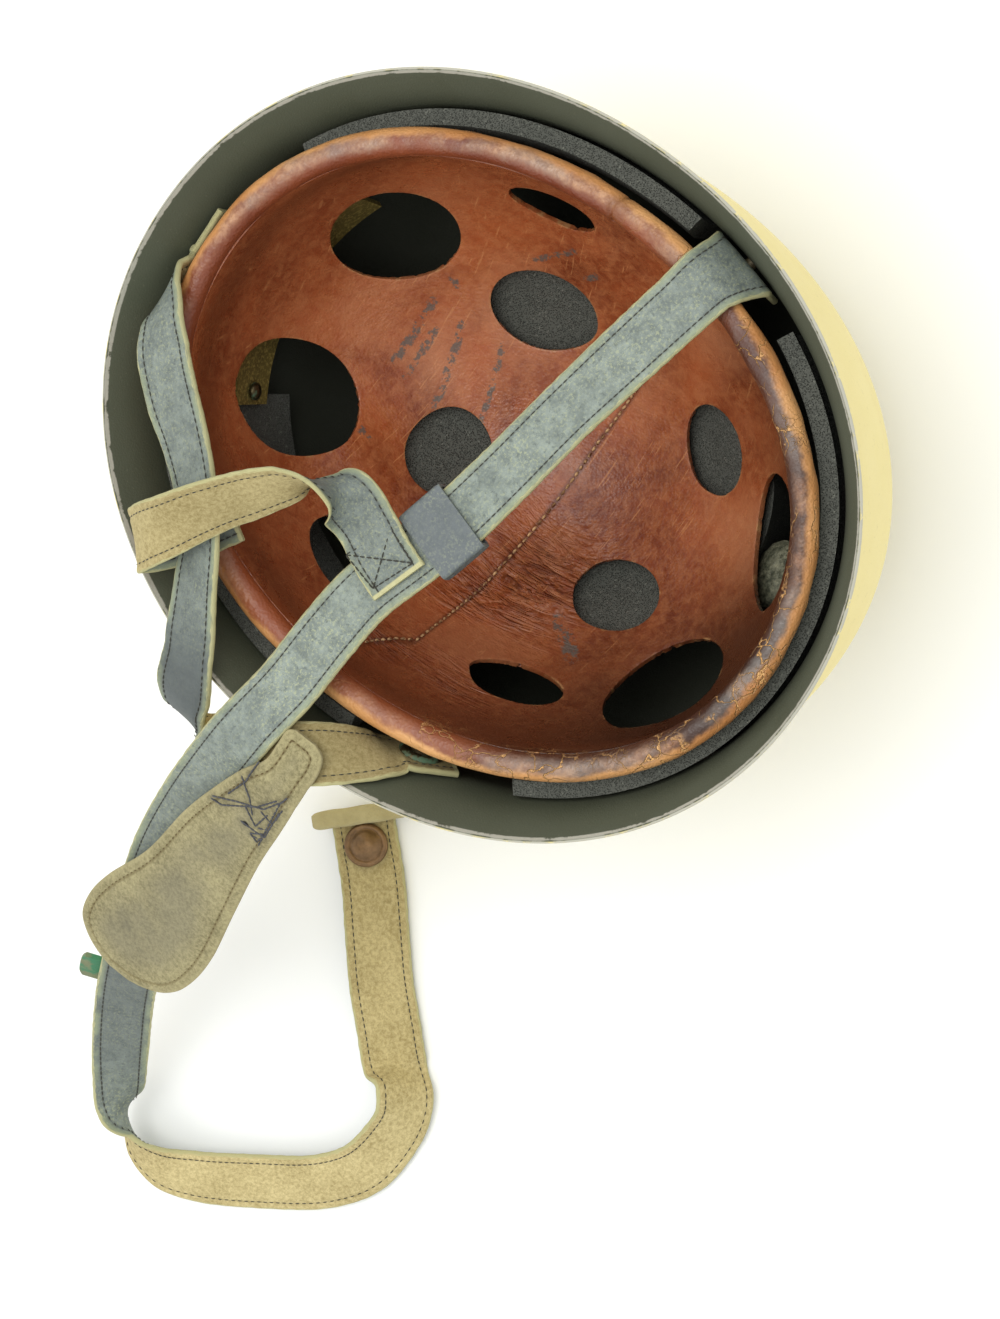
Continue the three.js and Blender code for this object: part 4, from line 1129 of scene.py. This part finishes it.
def rounded_box(wide, high, corner, per=6):
    """Outline of a rectangle with rounded corners, as across and height."""
    turn = np.linspace(0, np.pi / 2, per)
    parts = []
    for quarter, (sx, sy) in enumerate(((1, 1), (-1, 1), (-1, -1), (1, -1))):
        t = turn + quarter * np.pi / 2
        middle = np.array([sx * (wide - corner), sy * (high - corner)])
        parts.append(middle + corner * np.stack([np.cos(t), np.sin(t)], -1))
    return np.concatenate(parts)


def section_at(outline, along):
    """An outline of across and height, put at a place along a strap."""
    return np.stack([outline[:, 0], np.full(len(outline), along), outline[:, 1]], -1)


KEEPER = dict(place=(-25, -8), reach=9, outside=(13.4, 3.5, 1.6), inside=(12.0, 2.1, 0.6))
keeper_seat = on_strap(nearest(main, *KEEPER["place"]), 1, -STRAP["thickness"] / 2)
outline_out, outline_in = rounded_box(*KEEPER["outside"]), rounded_box(*KEEPER["inside"])
steps = np.linspace(-KEEPER["reach"], KEEPER["reach"], 15)
ease = 0.25 * (np.abs(steps) / KEEPER["reach"]) ** 8
outer = [section_at(outline_out * (1 - e * 0.05, 1 - e * 0.3), s) for s, e in zip(steps, ease)]
inner = [section_at(outline_in, s) for s in steps[::-1]]
keeper = made("strap_keeper", laid(np.array(outer + inner), keeper_seat)[::-1], 50, wrapped=True)
keeper_finish, shader = new_material("keeper_hide")
spot = place_of(shader)
grain = placed(harness_grain, Place=spot, Dark=paint(74, 80, 82), Pale=paint(106, 111, 111))
creased = plus(noise(spot, 150, 5, 0.6), times(grain["Height"], 0.15))
coat(shader, tint(0.6, grain["Colour"], paint(100, 106, 106)), 0.5, relief(creased, 0.0015))
dress(keeper, keeper_finish, "keeper")


# Bolts and eyelets: a domed steel head outside the shell, its shank through the strap's end, a
# small round end inside, and a pressed ring gone green round it.
def mottled(name, patches, dark, pale, roughness, grain, metallic=0.0):
    """Material of two shades in the patches of a noise, raised by a finer one, whose depth ends
    the row of its scale and detail."""
    finish, shader = new_material(name)
    spot = place_of(shader)
    *fine, depth = grain
    coat(shader, tint(noise(spot, *patches), paint(*dark), paint(*pale)), roughness,
         relief(noise(spot, *fine), depth), metallic)
    return finish


strap_face = -(STRAP["stand_off"] + STRAP["thickness"] / 2 + 0.3)
BOLT = dict(shank=2.2, head=6, foot=0.8)
bolt_profile = [(radius, strap_face - depth) for radius, depth in (
    (0.6, 2), (2.2, 1.9), (3.2, 1.6), (4.1, 0.8), (4.4, 0), (BOLT["shank"], 0))]
bolt_profile.append((BOLT["shank"], BOLT["foot"]))
bolt_profile += [(BOLT["head"] * share, height) for share, height in (
    (1, BOLT["foot"]), (1, 1.1), (0.93, 1.7), (0.8, 2.15), (0.55, 2.65), (0.3, 2.95), (0.1, 3.1))]
eyelet_profile = [(radius, strap_face - depth) for radius, depth in (
    (4.9, 0), (4.9, 1.1), (5.3, 1.6), (6.0, 1.9), (6.8, 1.7), (7.5, 1.1), (8, 0.4), (8, 0))]
bolt_finish = mottled("painted_bolt", (500, 5, 0.7), (60, 50, 36), (128, 116, 86), 0.5,
                      (1200, 4, 0.0002), metallic=0.4)
for side, (place, out) in SEATS.items():
    bolt = made("harness_bolt_" + side, turned(place, out, bolt_profile), 35)
    dress(bolt, bolt_finish, "bolt_" + side)
    eyelet = made("green_ring_" + side, turned(place, out, eyelet_profile)[::-1], 50, wrapped=True)
    dress(eyelet, metal_finish, "eyelet_" + side)


# Chin pad: a pear-shaped piece of soft tan suede, a little padded, with a pressed border sewn
# round in brown, and mended at its narrow end with dark thread. It lies over the strap.
# Each row: a place along the strap, its height, and the pad's two sides there
CHIN_ROWS = np.array([
    (-110, 168.8, -12, -4), (-112, 168.8, -16, -1.5), (-118, 168.6, -18, -1.2), (-125, 167.6, -17.5, -0.5),
    (-134, 163.9, -16.5, 5.5), (-146, 155.8, -14.5, 12), (-165, 141.6, -10.5, 21), (-193, 120.8, -7, 31),
    (-215, 104.4, -4.5, 43), (-227, 95.6, -1.5, 47.5), (-237, 88.6, 3, 48), (-243, 84.5, 8.5, 44),
    (-247, 81.8, 16, 38), (-249, 80.4, 23, 32)])
CHIN = dict(thickness=2.4, crown=1.2, border=3.4, groove=0.35, round_=0.5, pitch=2.4, stitch=1.5, thread=0.2)
# Dark thread over the narrow end: start and end of each stretch, and the small tear beside it
MENDING = np.array([
    (-151.8, 12.9, -146.6, 3.7), (-146.4, 7.4, -136.6, 2.6), (-136.6, 2.6, -127.3, 1.5),
    (-146.6, 3.7, -141.6, -7.2), (-136.2, 4.8, -141.5, -0.9), (-153, 13.0, -152.0, 8.1),
    (-152.0, 8.1, -142.5, -4.7), (-142.5, -4.7, -135.0, -10.6), (-141.6, -7.2, -133.3, -13.0),
    (-156.9, -9.3, -135.3, -12.0), (-135.3, -12.0, -131.5, -13.4), (-152.3, -0.6, -152.0, -10.6),
    (-141.5, -0.9, -146.9, -4.0), (-137.0, -13.6, -142.8, -12.4), (-152.0, -10.6, -138.8, -12.8),
    (-143.2, -6.7, -144.7, -11.7), (-145.6, -0.4, -150.1, -6.3), (-150.1, -6.3, -142.6, -9.2),
    (-155.7, -8.5, -151.0, -9.7), (-151.0, -9.7, -154.2, -5.3), (-154.2, -5.3, -155.7, -8.5),
    (-153.0, -10.5, -155.0, -6.0), (-148.0, -11.4, -150.0, -7.4)])
TEAR = (-152.0, -2.4)
chin, _ = curve_through(CHIN_ROWS[:, [0, 2, 3]], 14)
chin_z = np.interp(-chin[:, 0], -CHIN_ROWS[:, 0], CHIN_ROWS[:, 1])
chin_slope = unit(np.gradient(np.stack([chin[:, 0], chin_z], -1), axis=0))
chin_up = np.stack([chin_slope[:, 1], 0 * chin_z, -chin_slope[:, 0]], -1)
chin_border = np.vstack([chin[:, [0, 1]], chin[-1:, [0, 2]], chin[::-1, [0, 2]], chin[:1, [0, 1]]])
border_run = run_of(chin_border)
chin_border = read_at(np.linspace(0, border_run[-1], 420), border_run, chin_border)


def chin_top(x, y):
    """Distance of a place from the pad's border, and how far its top stands off the middle: it
    rises as a softening curve from the border and dips along the stitch line."""
    x, y = np.atleast_1d(x).astype(float), np.atleast_1d(y).astype(float)
    gap = np.hypot(x.ravel()[:, None] - chin_border[:, 0], y.ravel()[:, None] - chin_border[:, 1]).min(1)
    gap = gap.reshape(x.shape)
    dip = CHIN["groove"] * np.exp(-((gap - CHIN["border"]) / 0.8) ** 2)
    return gap, CHIN["thickness"] * 0.35 + CHIN["crown"] * (1 - np.exp(-gap / 2.4)) - dip


def chin_height(x, y):
    """Height of the pad's top over a place."""
    across_slope = np.interp(-np.asarray(x, float), -chin[:, 0], chin_up[:, 2])
    return np.interp(-np.asarray(x, float), -chin[:, 0], chin_z) + chin_top(x, y)[1] / across_slope


half = CHIN["thickness"] / 2
across = np.linspace(0, 1, 61)
bend = np.linspace(np.pi / 2, -np.pi / 2, 7)[1:-1]
near, far = chin[:, 1:2], chin[:, 2:3]
top_y = near + (far - near) * across
gap, lift = chin_top(np.broadcast_to(chin[:, :1], top_y.shape), top_y)
edge_lift = np.broadcast_to(half * 0.8 * np.sin(bend), (len(chin), len(bend)))
edge_reach = CHIN["round_"] * np.cos(bend)
side_y = np.concatenate([top_y, far + edge_reach, top_y[:, ::-1], near - edge_reach[::-1]], 1)
side_lift = np.concatenate([lift, edge_lift, np.full(top_y.shape, -half * 0.85), edge_lift[:, ::-1]], 1)
rows = np.stack(np.broadcast_arrays(chin[:, :1], side_y, chin_z[:, None]), -1)
rows = rows + chin_up[:, None] * side_lift[..., None]
points, faces = skin(rows)
chin_pad = mesh_object("suede_chin_pad", points * MM, faces)
smooth(chin_pad, 60)
on_edge = np.zeros_like(edge_lift)
side_gap = np.concatenate([gap, on_edge, gap[:, ::-1], on_edge], 1)
store(chin_pad, "from_edge", np.append(side_gap, [0, 0]) * MM)
mended = np.zeros(len(points))
for start_x, start_y, end_x, end_y in MENDING:
    mended = np.maximum(mended, near_line(points, (start_x, start_y), (end_x, end_y), 1.6))
store(chin_pad, "mended", mended)
store(chin_pad, "torn", np.exp(-((points[:, 0] - TEAR[0]) ** 2 / 1.3 + (points[:, 1] - TEAR[1]) ** 2 / 3.0)))
chin_finish, shader = new_material("chin_suede")
spot = place_of(shader)
nap = placed(suede_nap, Place=spot, Dark=paint(112, 104, 72), Pale=paint(176, 165, 122))
from_edge = field(shader, "from_edge")
handled = times(spread(from_edge, 0.003, 0.014), spread(noise(spot, 26, 4), 0.3, 0.62))
tone = over(nap["Colour"], paint(112, 108, 92), handled, 0.5)
tone = over(tone, paint(96, 92, 78), spread(noise(spot, 48, 6, 0.7), 0.6, 0.72), 0.4)
pressed = times(spread(from_edge, 0.0026, 0.0033), spread(from_edge, 0.0042, 0.0035))
tone = over(tone, paint(106, 92, 56), pressed, 0.5)
tone = over(tone, paint(180, 168, 124), spread(from_edge, 0.0002, 0.0012, 0.35, 0.0))
greasy = times(field(shader, "mended"), spread(noise(spot, 260, 5), 0.3, 0.6))
tone = over(tone, paint(84, 80, 66), greasy, 0.5)
# Painted shade: the small tear is a near-black spot on the suede, with no hole cut
tone = over(tone, paint(26, 24, 22), spread(field(shader, "torn"), 0.35, 0.6))
coat(shader, tone, 0.95, relief(nap["Height"], 0.0005))
dress(chin_pad, chin_finish, "chin_pad")

border_way = unit(np.gradient(chin_border, axis=0) + 1e-9)
inset = chin_border + np.stack([border_way[:, 1], -border_way[:, 0]], -1) * CHIN["border"]
inset = inset[chin_top(inset[:, 0], inset[:, 1])[0] > CHIN["border"] - 0.3]
inset_run = run_of(inset)
x, y = read_at(np.arange(1, inset_run[-1], CHIN["pitch"]), inset_run, inset).T
middle = np.stack([x, y, chin_height(x, y)], -1)
border_thread = stitches("chin_border_thread", [
    (middle, unit(np.gradient(middle, axis=0)), np.broadcast_to((0, 0, 1), middle.shape),
     np.full(len(x), CHIN["stitch"]))], CHIN["thread"])
brown_thread, shader = new_material("brown_thread")
coat(shader, paint(96, 80, 48), 0.8)
dress(border_thread, brown_thread)

# Mending: dark thread sewn by hand through the suede, in a loose zigzag over the narrow end, with
# a knot at the small tear
mending_lines = sewn_lines(MENDING, lambda x, y: chin_height(x, y).squeeze(), 2.0, 2.5)
mending = stitches("mending_thread", mending_lines, 0.32)
mend_finish, shader = new_material("mending_thread")
coat(shader, tint(noise(place_of(shader), 400, 4), paint(42, 42, 48), paint(96, 96, 98)), 0.85)
dress(mending, mend_finish)


# Snap: the socket of a press stud near the strap's tail, a low dome inside a turned ring, both
# of brown old copper and riveted through the leather.
snap_seat = on_strap(nearest(main, -179.5, -2.3), -1, 0.6)
snap_profile = [(0.4, 0), (7.6, 0), (8, 0.3), (8, 1.2), (7.8, 1.7), (7.2, 2.1), (6.4, 2.2), (5.9, 1.9),
                (5.5, 2.0), (4.9, 2.8), (3.9, 3.5), (2.4, 4.0), (1.0, 4.2), (0.4, 4.2)]
snap_turn = full_turn(48)
rows = np.array([np.stack([r * np.cos(snap_turn), r * np.sin(snap_turn), 0 * snap_turn + h], -1)
                 for r, h in snap_profile])
snap = made("copper_snap", laid(rows, snap_seat), 40)
snap_finish = mottled("old_copper", (260, 6, 0.7), (62, 48, 34), (158, 124, 88), 0.42,
                      (700, 4, 0.0002), metallic=0.7)
dress(snap, snap_finish, "snap")


# Tail tab: a strip of leather folded double and sewn across the strap's end, so that the tail
# can't slip out of a buckle.
tab_seat = on_strap((main["middle"][-1], main["along"][-1], main["face"][-1]), -1, 0.3)
tab_outline = rounded_box(3.4, 2.3, 1.6)
TAB_REACH, TAB_LIFT = 18, 2.2
tab_x = np.linspace(-TAB_REACH, TAB_REACH, 50)
bulge = 0.2 * wander(tab_x * 0.3, 31, 0.5, 2)
shrink = 1 - 0.35 * (np.abs(tab_x) / TAB_REACH) ** 14
rows = np.array([np.insert(tab_outline * s + (b, TAB_LIFT), 0, x, axis=1)
                 for x, s, b in zip(tab_x, shrink, bulge)])
tail_tab = made("folded_tail_tab", laid(rows, tab_seat), 60)
tab_finish = mottled("tab_suede", (120, 6, 0.7), (150, 136, 92), (196, 184, 138), 0.95,
                     (900, 5, 0.0005))
dress(tail_tab, tab_finish, "tail_tab")


# Stud tab: a small tongue of greenish leather sewn under the strap, which sticks out past its
# edge and is stained by a brass stud.
stud_seat = on_strap(nearest(main, -257, 26), -1, 1.2)
stud_outline = rounded_box(5.5, 1.0, 0.5)
STUD_REACH, STUD_ASIDE, STUD_LIFT = 7, -13, 1.0
stud_place = (STUD_ASIDE, STUD_LIFT)
rows = np.array([section_at(stud_outline * (1 - 0.25 * (abs(y) / STUD_REACH) ** 4, 1) + stud_place, y)
                 for y in np.linspace(-STUD_REACH, STUD_REACH, 20)])
stud_tab = made("green_stud_tab", laid(rows, stud_seat)[::-1], 50)
stud_finish, shader = new_material("stud_tab_hide")
spot = place_of(shader)
tone = tint(noise(spot, 200, 6, 0.7), paint(78, 88, 62), paint(138, 142, 104))
coat(shader, over(tone, paint(58, 118, 82), spread(noise(spot, 110, 3), 0.48, 0.6)), 0.7,
     relief(noise(spot, 800, 4), 0.0003))
dress(stud_tab, stud_finish, "stud_tab")
